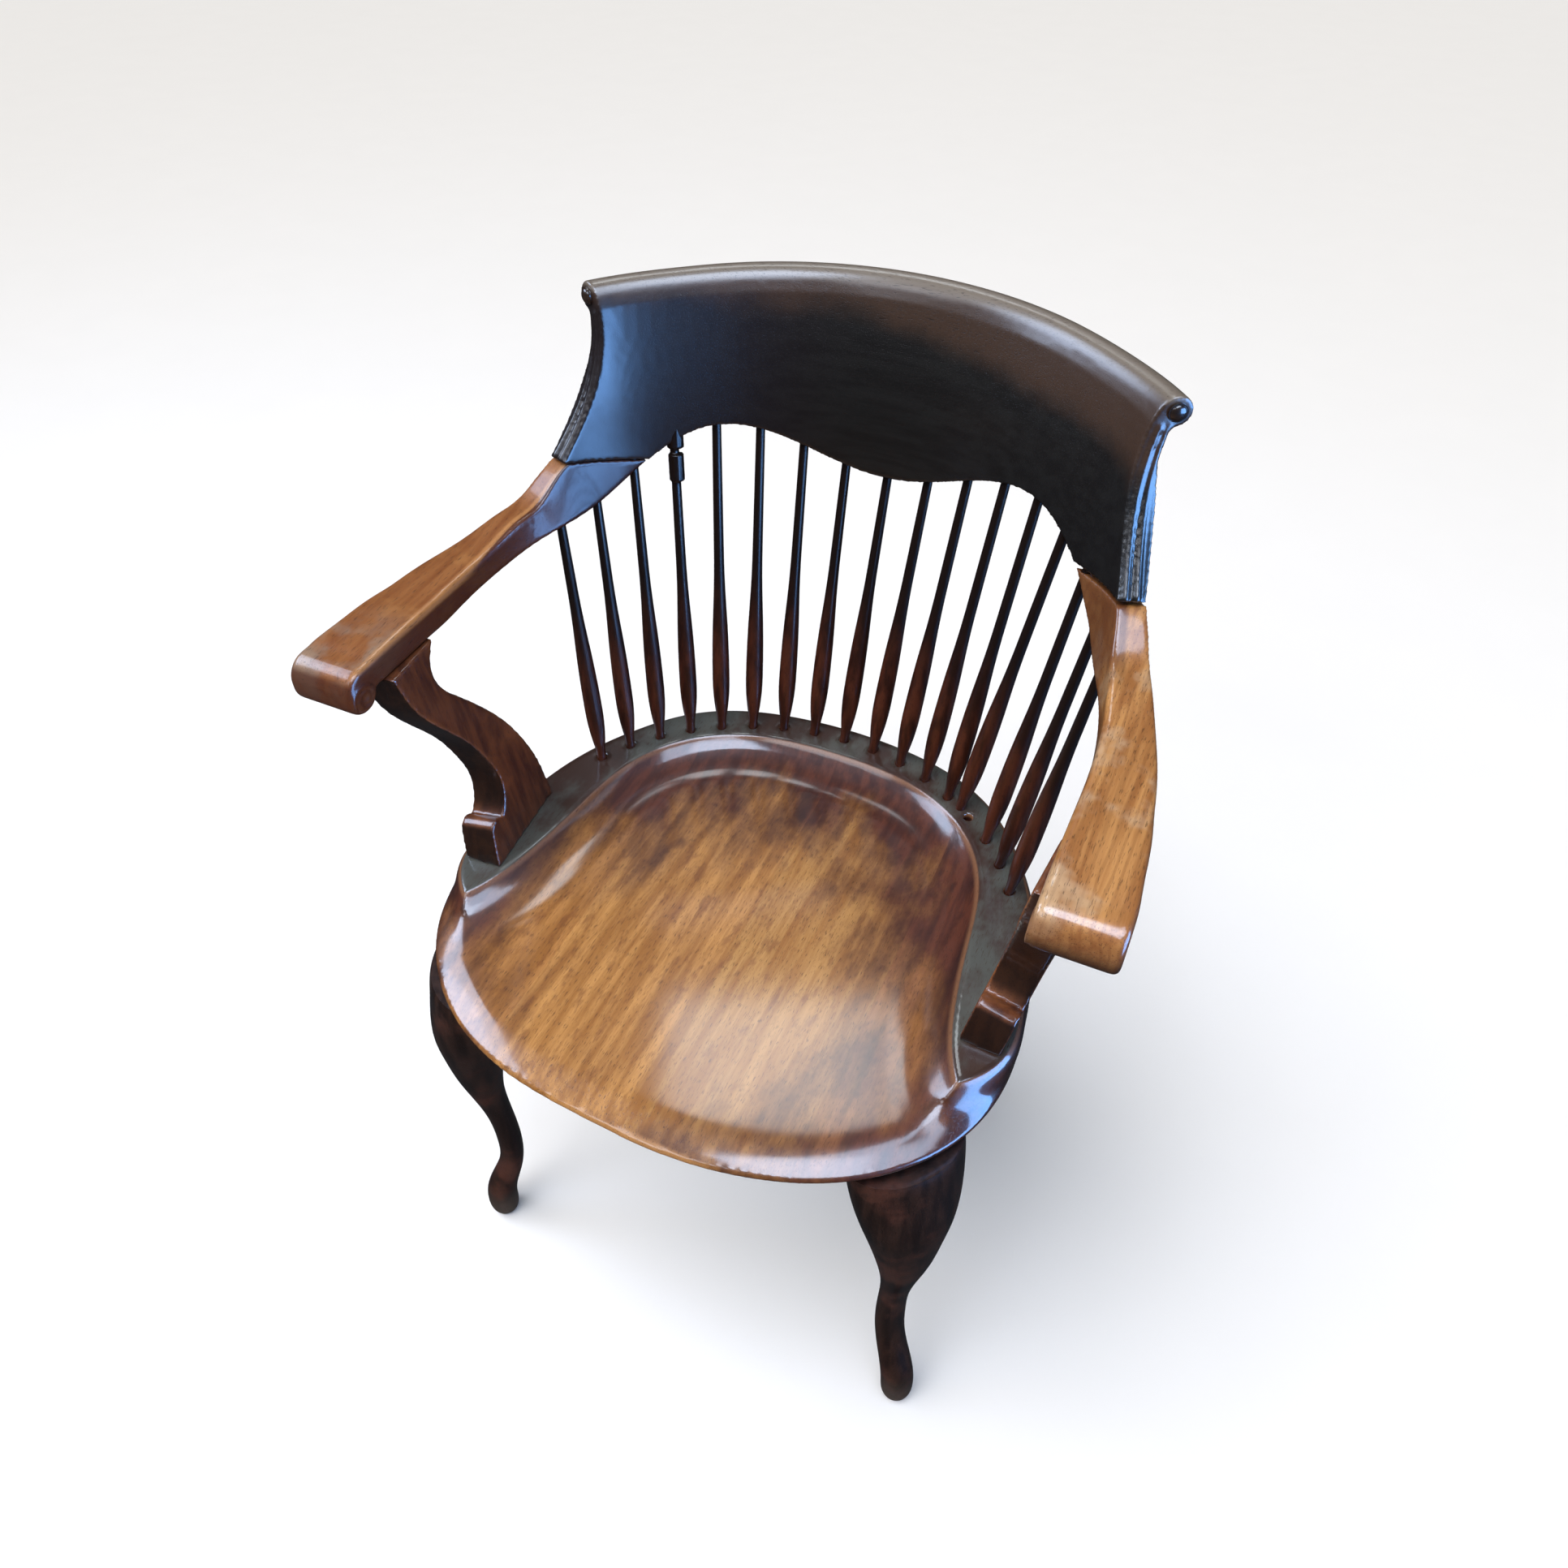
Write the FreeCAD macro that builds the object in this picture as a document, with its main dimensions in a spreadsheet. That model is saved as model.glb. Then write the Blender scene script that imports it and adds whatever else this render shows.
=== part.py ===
import FreeCAD, Part
import Sketcher
import math
import os
from FreeCAD import Placement, Rotation, Vector

# Captain's armchair: dished plank seat, seventeen turned spindles, a deep bent crest rail on two scrolled
# arms, S-shaped arm supports and four cabriole legs. Millimetres, +Z up, the sitter faces -Y, and the
# origin is on the floor under the middle of the chair.

doc = FreeCAD.newDocument("CaptainsChair")

# Driving dimensions
SIZES = (
    ("rim_height", 455.0, "floor to the flat rim of the seat"),
    ("seat_thickness", 42.0, "thickness of the seat plank at its rim"),
    ("seat_half_width", 246.0, "middle line to the widest point of the seat"),
    ("seat_front_reach", 225.0, "origin to the front edge of the seat"),
    ("seat_rear_reach", 227.0, "origin to the rear edge of the seat"),
    ("dish_depth", 18.0, "depth of the dished sitting surface under the rim"),
    ("dish_wall", 42.0, "breadth of the hollow slope round the dish"),
    ("rear_rim", 41.0, "breadth of the flat rim behind the dish"),
    ("side_rim", 60.0, "breadth of the flat rim beside the dish"),
    ("glue_line_shift", 4.0, "middle glue line, off the middle of the seat"),
    ("glue_line_step", 126.0, "breadth of a seat board"),
    ("foot_arc_radius", 224.0, "plan radius of the circle of spindle feet"),
    ("foot_arc_middle", -18.0, "Y of that circle's middle"),
    ("foot_arc_half_angle", 60.9, "half angle that the spindle feet span"),
    ("bow_radius", 237.5, "plan radius of the circle of spindle tops"),
    ("bow_middle", 42.0, "Y of that circle's middle"),
    ("bow_half_angle", 70.7, "half angle that the spindle tops span"),
    ("spindle_tenon", 8.4, "diameter of the spindle's foot and its tenon"),
    ("spindle_belly", 15.8, "largest diameter of a spindle"),
    ("belly_height", 50.0, "rim to the widest point of a spindle"),
    ("neck_height", 180.0, "rim to the top of the spindle's swelling"),
    ("spindle_neck", 8.8, "diameter above the swelling"),
    ("spindle_tip", 7.6, "diameter of the spindle's top and its tenon"),
    ("foot_tenon_length", 18.0, "depth of the spindle in the seat"),
    ("loose_slip", 12.5, "how far the loose spindle's foot stands from its socket"),
    ("tip_tenon_length", 10.0, "depth of the spindle in the rail or arm"),
    ("joint_clearance", 0.1, "clearance round every tenon, dowel and screw"),
    ("crest_valley", 697.0, "height of the crest's lower edge in the middle"),
    ("crest_arch", 37.5, "rise of the two arches of the lower edge"),
    ("crest_arch_angle", 35.4, "plan angle of the top of each arch"),
    ("crest_roll_height", 840.0, "height of the axis of the rolled top"),
    ("crest_roll_drop", 3.0, "how much lower the rolled top is at its ends"),
    ("crest_roll_radius", 10.5, "radius of the rolled top"),
    ("crest_thickness", 22.0, "thickness of the crest board at its lower edge"),
    ("crest_lean", 24.0, "how far the crest leans back over its height"),
    ("seam_height", 728.0, "height of the seam between crest and arm, outer end"),
    ("seam_angle", 67.7, "plan angle of the outer end of that seam"),
    ("seam_gap_left", 0.2, "glue line under the left end of the crest"),
    ("seam_gap_right", 3.0, "opened glue line under the right end of the crest"),
    ("button_radius", 6.6, "radius of the turned button on the rolled top's end"),
    ("button_rise", 3.2, "height of that button"),
    ("arm_height", 690.0, "floor to the top of the arms"),
    ("arm_thickness", 24.0, "thickness of the arm at its front"),
    ("arm_inner_reach", 241.0, "middle line to the arm's inner edge at the front"),
    ("arm_width", 55.0, "width of the arm at its front"),
    ("arm_front_reach", 124.0, "origin to the front of the arm's scroll"),
    ("scroll_radius", 17.5, "radius of the arm's down-turned scroll"),
    ("support_foot_reach", 207.0, "middle line to the arm support's inner face, foot"),
    ("support_lean", 9.1, "outward lean of the arm support, degrees"),
    ("support_foot_turn", 5.4, "turn of the support in plan, degrees, front outward"),
    ("support_thickness", 32.0, "thickness of the arm support"),
    ("front_leg_reach", 206.0, "X of the front leg's axis"),
    ("front_leg_forward", 147.0, "distance of that axis in front of the origin"),
    ("rear_leg_reach", 150.0, "X of the rear leg's axis"),
    ("rear_leg_back", 122.0, "distance of that axis behind the origin"),
    ("ankle_width", 25.0, "diameter of a leg at its ankle"),
    ("knee_width", 102.0, "width of the front leg across its knee"),
    ("leg_tenon", 26.0, "diameter of the round tenon on top of a leg"),
    ("leg_tenon_length", 15.0, "depth of that tenon in the seat"),
    ("dowel_width", 8.0, "diameter of the dowels between crest and arms"),
    ("dowel_length", 34.0, "length of those dowels"),
    ("screw_shank", 4.5, "diameter of the screws in the arm supports"),
    ("screw_head", 9.0, "diameter of their countersunk heads"),
    ("screw_length", 70.0, "length of those screws"),
    ("middle_shift", 47.1, "seat's middle to the middle of the chair's whole depth"),
)
sheet = doc.addObject("Spreadsheet::Sheet", "Sizes")
for row, (alias, value, note) in enumerate(SIZES, start=1):
    sheet.set(f"A{row}", note)
    sheet.set(f"B{row}", str(value))
    sheet.setAlias(f"B{row}", alias)
doc.recompute()
S = {alias: float(sheet.get(alias)) for alias, _, _ in SIZES}

SPINDLES = 17
ARM_SPINDLES = 3
nodes = {}


def node(name, item):
    """Gives a sub-part its own name."""
    item.Label = name
    nodes[name] = item
    return item


def feature(name, shape):
    """A document object that holds a shape made by a formula."""
    item = doc.addObject("Part::Feature", name)
    item.Shape = shape
    item.Placement = Placement()
    return item


def combine(kind, name, base, tool):
    """Cuts the tool from the base, or keeps what they share."""
    item = doc.addObject(kind, name)
    item.Base = base
    item.Tool = tool
    return item


def union(name, items):
    item = doc.addObject("Part::MultiFuse", name)
    item.Shapes = items
    return item


def group(name, items):
    """Separate solids that share one node."""
    item = doc.addObject("Part::Compound", name)
    item.Links = items
    return item


def rod(name, diameter, length, start, direction, clearance=""):
    """A round rod or bore, bound to the sheet, from a point along a direction."""
    item = doc.addObject("Part::Cylinder", name)
    item.setExpression("Radius", f"({diameter}{clearance}) / 2")
    item.setExpression("Height", length)
    item.Placement = Placement(start, Rotation(Vector(0, 0, 1), direction))
    return item


def smooth_step(value, low, high):
    """0 below low, 1 above high and smooth between."""
    share = min(1.0, max(0.0, (value - low) / (high - low)))
    return share * share * (3 - 2 * share)


def blend(low, high, share):
    return low + (high - low) * share


def spline(points, closed=False):
    curve = Part.BSplineCurve()
    if closed:
        curve.interpolate(Points=points, PeriodicFlag=True)
    else:
        curve.interpolate(points)
    return curve


# Seat: outline in plan, from the middle of the front edge round the right side to the rear
half_width = S["seat_half_width"]
front = S["seat_front_reach"]
rear = S["seat_rear_reach"]
seat_top = S["rim_height"]
seat_under = seat_top - S["seat_thickness"]
OUTLINE_HALF = (
    (0.0, -front),
    (0.488 * half_width, -0.935 * front),
    (0.79 * half_width, -0.752 * front),
    (0.955 * half_width, -0.50 * front),
    (half_width, -0.26 * front),
    (0.975 * half_width, 0.05 * rear),
    (0.915 * half_width, 0.33 * rear),
    (0.775 * half_width, 0.62 * rear),
    (0.58 * half_width, 0.845 * rear),
    (0.30 * half_width, 0.967 * rear),
    (0.0, rear),
)
right_side = [Vector(x, y, 0) for x, y in OUTLINE_HALF]
left_side = [Vector(-p.x, p.y, 0) for p in reversed(right_side[1:-1])]
outline = spline(right_side + left_side, closed=True)
OUTLINE_SAMPLES = 28
TAKEOFF_START = -0.30
TAKEOFF_END = -0.74


def seat_ring(height, side_inset, front_inset):
    """The seat's outline at one height, drawn in by its rounded edge."""
    first, last = outline.FirstParameter, outline.LastParameter
    ring = []
    for i in range(OUTLINE_SAMPLES):
        at = first + (last - first) * i / OUTLINE_SAMPLES
        point = outline.value(at)
        tangent = outline.tangent(at)[0]
        inward = Vector(-tangent.y, tangent.x, 0)
        share = smooth_step(-point.y, -TAKEOFF_START * front, -TAKEOFF_END * front)
        ring.append(point + inward * blend(side_inset, front_inset, share) + Vector(0, 0, height))
    return Part.Wire(spline(ring, closed=True).toShape())


# Each row of the edge is its depth under the rim as a share of the thickness, then how far the edge is
# drawn in at the sides and at the front, where it rolls over in a waterfall
EDGE = (
    (1.00, 11.0, 24.0),
    (0.92, 5.0, 16.0),
    (0.78, 1.0, 6.0),
    (0.62, 0.0, 0.5),
    (0.52, 0.1, 8.0),
    (0.44, 0.3, 21.0),
    (0.24, 1.2, 40.0),
    (0.09, 3.6, 50.0),
    (0.00, 8.0, 54.0),
)
seat_blank = feature(
    "SeatBlank",
    Part.makeLoft(
        [seat_ring(seat_top - depth * S["seat_thickness"], side, fore) for depth, side, fore in EDGE],
        True,
        False,
    ),
)

# Dish: a saddle hollow with a crisp ridge, open to the front
dish_half = half_width - S["side_rim"]
dish_rear = rear - S["rear_rim"]
RIDGE_HALF = (
    (1.40 * dish_half, -0.62 * front),
    (1.226 * dish_half, -0.515 * front),
    (1.108 * dish_half, -0.364 * front),
    (1.043 * dish_half, -0.195 * front),
    (dish_half, 0.0),
    (0.968 * dish_half, 0.24 * dish_rear),
    (0.925 * dish_half, 0.46 * dish_rear),
    (0.80 * dish_half, 0.70 * dish_rear),
    (0.58 * dish_half, 0.885 * dish_rear),
    (0.29 * dish_half, 0.98 * dish_rear),
    (0.0, dish_rear),
)
ridge_right = [Vector(x, y, 0) for x, y in RIDGE_HALF]
ridge_left = [Vector(-p.x, p.y, 0) for p in reversed(ridge_right[:-1])]
ridge = spline(ridge_right + ridge_left)
RIDGE_SAMPLES = 20
CUT_FRONT = -1.25


def dish_ring(height, inset):
    """The ridge drawn in by the hollow slope, closed by a line in front of the seat."""
    first, last = ridge.FirstParameter, ridge.LastParameter
    curve_points = []
    for i in range(RIDGE_SAMPLES + 1):
        at = first + (last - first) * i / RIDGE_SAMPLES
        tangent = ridge.tangent(at)[0]
        inward = Vector(-tangent.y, tangent.x, 0)
        curve_points.append(ridge.value(at) + inward * inset + Vector(0, 0, height))
    start, end = curve_points[0], curve_points[-1]
    corner_right = Vector(start.x, CUT_FRONT * front, height)
    corner_left = Vector(end.x, CUT_FRONT * front, height)
    return Part.Wire([
        spline(curve_points).toShape(),
        Part.makeLine(end, corner_left),
        Part.makeLine(corner_left, corner_right),
        Part.makeLine(corner_right, start),
    ])


# Each row of the slope is its depth as a share of the dish's depth, then its share of the slope's breadth
SLOPE = (
    (-0.10, -0.03), (0.0, 0.0), (0.30, 0.14), (0.62, 0.36), (0.86, 0.66), (0.965, 0.88), (1.00, 1.12),
)
dish = feature(
    "Dish",
    Part.makeLoft(
        [dish_ring(seat_top - deep * S["dish_depth"], wide * S["dish_wall"]) for deep, wide in SLOPE],
        True,
        False,
    ),
)
dished_seat = combine("Part::Cut", "DishedSeat", seat_blank, dish)


# Bow: the common inner face of crest and arms, as a plan radius about the bow's middle
def bow_point(angle, radius, height):
    """A point at a plan angle, in degrees, from straight back about the bow's middle."""
    turn = math.radians(angle)
    return Vector(radius * math.sin(turn), S["bow_middle"] + radius * math.cos(turn), height)


SEAM_START = 50.3
ARM_LEVEL_ANGLE = 68.0
arm_under = S["arm_height"] - S["arm_thickness"]
TWIST_UNDER_RISE = 16.0
arch_top = S["crest_valley"] + S["crest_arch"]
half_thickness = S["crest_thickness"] / 2
spindle_step = S["bow_half_angle"] / ((SPINDLES - 1) / 2)


def lower_edge(angle):
    """Height of the cupid's-bow lower edge, which runs on down under the arms."""
    across = abs(angle)
    arch = S["crest_arch_angle"]
    if across <= arch:
        return S["crest_valley"] + S["crest_arch"] * (1 - math.cos(math.pi * across / arch)) / 2
    return blend(arch_top, arm_under + TWIST_UNDER_RISE, smooth_step(across, arch, ARM_LEVEL_ANGLE))


def inner_radius(angle, height):
    """The inner face leans back with height, and more so near the rolled top."""
    base = S["bow_radius"] - half_thickness + 2.5 + 11.0 * smooth_step(abs(angle), 35.0, S["seam_angle"])
    over = height - S["seam_height"]
    if over <= 0:
        return base + blend(0.08, 0.20, smooth_step(abs(angle), 45.0, 62.0)) * over
    rise = S["crest_roll_height"] - S["seam_height"]
    return base + S["crest_lean"] * (0.40 * over / rise + 0.60 * (over / rise) ** 2)


def roll_height(angle):
    """The rolled top dips a little towards its ends."""
    return S["crest_roll_height"] - S["crest_roll_drop"] * (angle / (0.81 * S["seam_angle"])) ** 2


def end_angle(height):
    """Plan angle of the crest's end, which sweeps back as it climbs."""
    rise = S["crest_roll_height"] - S["seam_height"]
    share = max(0.0, S["crest_roll_height"] - height) / rise
    return S["seam_angle"] * (0.81 + 0.19 * share ** 2.2)


# Crest rail: sections across the board, on upright planes through the bow's middle
def crest_section(angle):
    low = max(lower_edge(angle), S["crest_valley"])
    roll_z = roll_height(angle)
    roll = S["crest_roll_radius"]
    thick = S["crest_thickness"]
    middle = (low + roll_z) / 2

    def at(depth, height):
        return bow_point(angle, inner_radius(angle, height) + depth, height)

    def roll_at(turn):
        """A point on the roll, whose axis lies behind the face, at an angle up from the back."""
        axis = inner_radius(angle, roll_z) + 1.33 * roll
        rise = roll * math.sin(math.radians(turn))
        return bow_point(angle, axis + roll * math.cos(math.radians(turn)), roll_z + rise)

    crown = roll_at(90)
    face = [
        at(0, low),
        at(0, blend(low, middle, 0.7)),
        at(0, blend(middle, roll_z, 0.55)),
        at(0, roll_z - 0.55 * roll),
    ]
    top = [face[-1], at(0.14 * roll, roll_z + 0.20 * roll), roll_at(132), crown]
    behind = [crown, roll_at(45), roll_at(0), roll_at(-45), roll_at(-82)]
    back = [
        behind[-1],
        at(0.60 * thick, roll_z - 1.75 * roll),
        at(0.66 * thick, roll_z - 2.7 * roll),
        at(0.84 * thick, roll_z - 4.2 * roll),
        at(0.94 * thick, blend(low, roll_z - 4.2 * roll, 0.45)),
        at(thick, low),
    ]
    edges = [spline(points).toShape() for points in (face, top, behind, back)]
    edges.append(Part.makeLine(back[-1], face[0]))
    return Part.Wire(edges)


CREST_STATIONS = (0.15, 0.29, 0.42, 0.52, 0.61, 0.70, 0.79, 0.89, 1.0, 1.12)
crest_angles = [0.0] + [S["seam_angle"] * place for place in CREST_STATIONS]
crest_angles = [-angle for angle in reversed(crest_angles[1:])] + crest_angles
crest_blank = feature("CrestBlank", Part.makeLoft([crest_section(a) for a in crest_angles], True, False))

END_MIDDLE_ANGLE = 61.0
END_HEIGHTS = (-40.0, 0.0, 28.0, 56.0, 84.0, 112.0, 140.0)


def end_cutter(side, name):
    """A block whose inner wall is the sweeping end of the crest, cut square to the board."""
    turn = math.radians(side * END_MIDDLE_ANGLE)
    radial = Vector(math.sin(turn), math.cos(turn), 0)
    along = Vector(math.cos(turn), -math.sin(turn), 0) * side
    pivot = bow_point(side * END_MIDDLE_ANGLE, S["bow_radius"] - 80, 0)
    profile = []
    for over in END_HEIGHTS:
        height = S["seam_height"] + over
        angle = side * end_angle(height)
        offset = (bow_point(angle, inner_radius(angle, height), height) - pivot).dot(along)
        profile.append(pivot + along * offset + Vector(0, 0, height))
    low, high = profile[0], profile[-1]
    low_out = low + along * 200
    high_out = high + along * 200
    sides = [(high, high_out), (high_out, low_out), (low_out, low)]
    wire = Part.Wire([spline(profile).toShape()] + [Part.makeLine(a, b) for a, b in sides])
    return feature(name, Part.Face(wire).extrude(radial * 200))


# Seam: a flat joint, sloping up to the front, where each end of the crest sits on an arm
def seam_frame(side):
    """Middle of the seam and its directions: along the joint, outward across it and square to it."""
    back = bow_point(SEAM_START, S["bow_radius"] + 2.5, lower_edge(SEAM_START))
    fore = bow_point(S["seam_angle"], S["bow_radius"] + 12.5, S["seam_height"] - 1.0)
    along = (fore - back).normalize()
    level = Vector(along.x, along.y, 0).normalize()
    outward = Vector(-level.y, level.x, -0.09).normalize()
    square = along.cross(outward).normalize()
    middle = (back + fore) / 2
    mirror = [Vector(side * v.x, v.y, v.z) for v in (middle, along, outward, square)]
    return mirror


def seam_block(side, name, gap, above):
    """A block on one side of the seam: above it, lowered by the gap, or below it."""
    middle, along, outward, square = seam_frame(side)
    block = doc.addObject("Part::Box", name)
    block.Length = 180 if above else 150
    block.Width = 140
    block.Height = 90
    start = middle - along * 75 - outward * 70
    if above:
        start = start - square * gap
    else:
        start = start - square * 90
    across = square.cross(along)
    if across.dot(outward) < 0:
        start = start + outward * 140
    block.Placement = Placement(start, Rotation(along, across, square, "ZXY"))
    return block


seam_under = [seam_block(1, "SeamUnderRight", 0, False), seam_block(-1, "SeamUnderLeft", 0, False)]
crest_ends = [end_cutter(1, "CrestEndRight"), end_cutter(-1, "CrestEndLeft")]
crest_joined = combine("Part::Cut", "CrestJoined", crest_blank, group("SeamUnder", seam_under))
crest_trimmed = combine("Part::Cut", "CrestTrimmed", crest_joined, group("CrestEnds", crest_ends))

# Dowels in the seam, square to it
DOWEL_ANGLES = (56.5, 62.5)


def seam_dowels(side, name, extra=""):
    """Two dowels across the seam, or the bores for them."""
    middle, along, outward, square = seam_frame(side)
    rods = []
    for count, angle in enumerate(DOWEL_ANGLES, start=1):
        spot = bow_point(side * angle, inner_radius(angle, S["seam_height"] - 8) + half_thickness, middle.z)
        spot = spot + Vector(0, 0, (middle - spot).dot(square) / square.z)
        clear = "" if not extra else " + 2 * Sizes.joint_clearance"
        start = spot - square * (S["dowel_length"] / 2 + (0.3 if extra else 0))
        rods.append(rod(f"{name}{count}", "Sizes.dowel_width", f"Sizes.dowel_length{extra}", start, square, clear))
    return rods


dowels = seam_dowels(-1, "DowelLeft") + seam_dowels(1, "DowelRight")
bores_left = seam_dowels(-1, "DowelBoreLeft", " + 0.6")
bores_right = seam_dowels(1, "DowelBoreRight", " + 0.6")


# Turned buttons on the ends of the rolled top, each with a peg into the roll
def button_parts(side, name):
    angle = side * end_angle(S["crest_roll_height"])
    roll_z = roll_height(angle)
    middle = bow_point(angle, inner_radius(angle, roll_z) + 1.33 * S["crest_roll_radius"], roll_z)
    turn = math.radians(side * END_MIDDLE_ANGLE)
    outward = Vector(math.cos(turn), -math.sin(turn), 0) * side
    radial = Vector(math.sin(turn), math.cos(turn), 0)
    face = bow_point(angle, inner_radius(angle, roll_z), roll_z)
    middle = middle + outward * (face - middle).dot(outward)
    disc = rod(f"{name}Disc", "Sizes.button_radius * 2", "Sizes.button_rise * 0.6", middle, outward)
    dome = doc.addObject("Part::Ellipsoid", f"{name}Dome")
    dome.setExpression("Radius1", "Sizes.button_rise * 0.9")
    dome.setExpression("Radius2", "Sizes.button_radius * 0.86")
    dome.setExpression("Radius3", "Sizes.button_radius * 0.86")
    dome.Placement = Placement(middle + outward * 0.5 * S["button_rise"], Rotation(Vector(0, 0, 1), outward))
    peg = rod(f"{name}Peg", "Sizes.button_radius * 0.8", "Sizes.button_radius * 1.5 + 0.5",
              middle - outward * 1.5 * S["button_radius"], outward)
    hole = rod(f"{name}Hole", "Sizes.button_radius * 0.8", "Sizes.button_radius * 3",
               middle - outward * 1.6 * S["button_radius"], outward, " + 2 * Sizes.joint_clearance")
    recess = rod(f"{name}Recess", "Sizes.button_radius * 2", "Sizes.button_radius", middle, outward,
                 " + 2 * Sizes.joint_clearance")
    outer_half = doc.addObject("Part::Box", f"{name}Half")
    outer_half.Length = 60
    outer_half.Width = 60
    outer_half.Height = 30
    across = outward.cross(radial).normalize()
    corner = middle - radial * 30 - across * 30
    outer_half.Placement = Placement(corner, Rotation(radial, across, outward, "ZXY"))
    domed = combine("Part::Common", f"{name}Domed", dome, outer_half)
    return union(f"{name}Button", [disc, domed, peg]), union(f"{name}ButtonBore", [hole, recess])


button_left, button_hole_left = button_parts(-1, "Left")
button_right, button_hole_right = button_parts(1, "Right")


# Spindles: turned on the lathe, slender at the top with a belly low down; one has lost its lower tenon and
# stands on the rim beside its empty socket
LOOSE_SPINDLE = 5
FOOT_BEND = 0.2
NECK_BEND = 0.55


def spindle_ends(index, slip=0.0):
    """Foot on the rim and top on the lower edge of crest or arm, for index -8 to 8, the foot slipped aside."""
    share = index / ((SPINDLES - 1) / 2)
    radius = S["foot_arc_radius"]
    turn = math.radians(S["foot_arc_half_angle"] * share) - slip / radius
    foot = Vector(radius * math.sin(turn), S["foot_arc_middle"] + radius * math.cos(turn), seat_top)
    angle = spindle_step * index
    tip = bow_point(angle, S["bow_radius"], lower_edge(angle))
    return foot, tip


def bind_profile(sketch, points, corners):
    """Closes the half profile at its corners and ties them to the sheet."""
    count = len(points)
    ends = []
    for i in range(count):
        shape = sketch.Geometry[i]
        forward = shape.StartPoint.distanceToPoint(points[i]) < 1e-4
        ends.append((1, 2) if forward else (2, 1))
    for i in range(count):
        after = (i + 1) % count
        sketch.addConstraint(Sketcher.Constraint("Coincident", i, ends[i][1], after, ends[after][0]))
    sketch.addConstraint(Sketcher.Constraint("Coincident", 0, ends[0][0], -1, 1))
    for i, level in ((2, 2), (3, 4), (4, 4), (5, 6)):
        sketch.addConstraint(Sketcher.Constraint("Horizontal", i, 3, level, ends[level][0]))
    for i in range(1, count):
        _, _, across, up = corners[i]
        if across != "0":
            row = sketch.addConstraint(Sketcher.Constraint("DistanceX", -1, 1, i, ends[i][0], points[i].x))
            sketch.setExpression(f"Constraints[{row}]", across)
        if up != "0":
            row = sketch.addConstraint(Sketcher.Constraint("DistanceY", -1, 1, i, ends[i][0], points[i].y))
            sketch.setExpression(f"Constraints[{row}]", up)
    sketch.addConstraint(Sketcher.Constraint("Horizontal", 0))
    sketch.addConstraint(Sketcher.Constraint("Vertical", count - 1))


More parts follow.
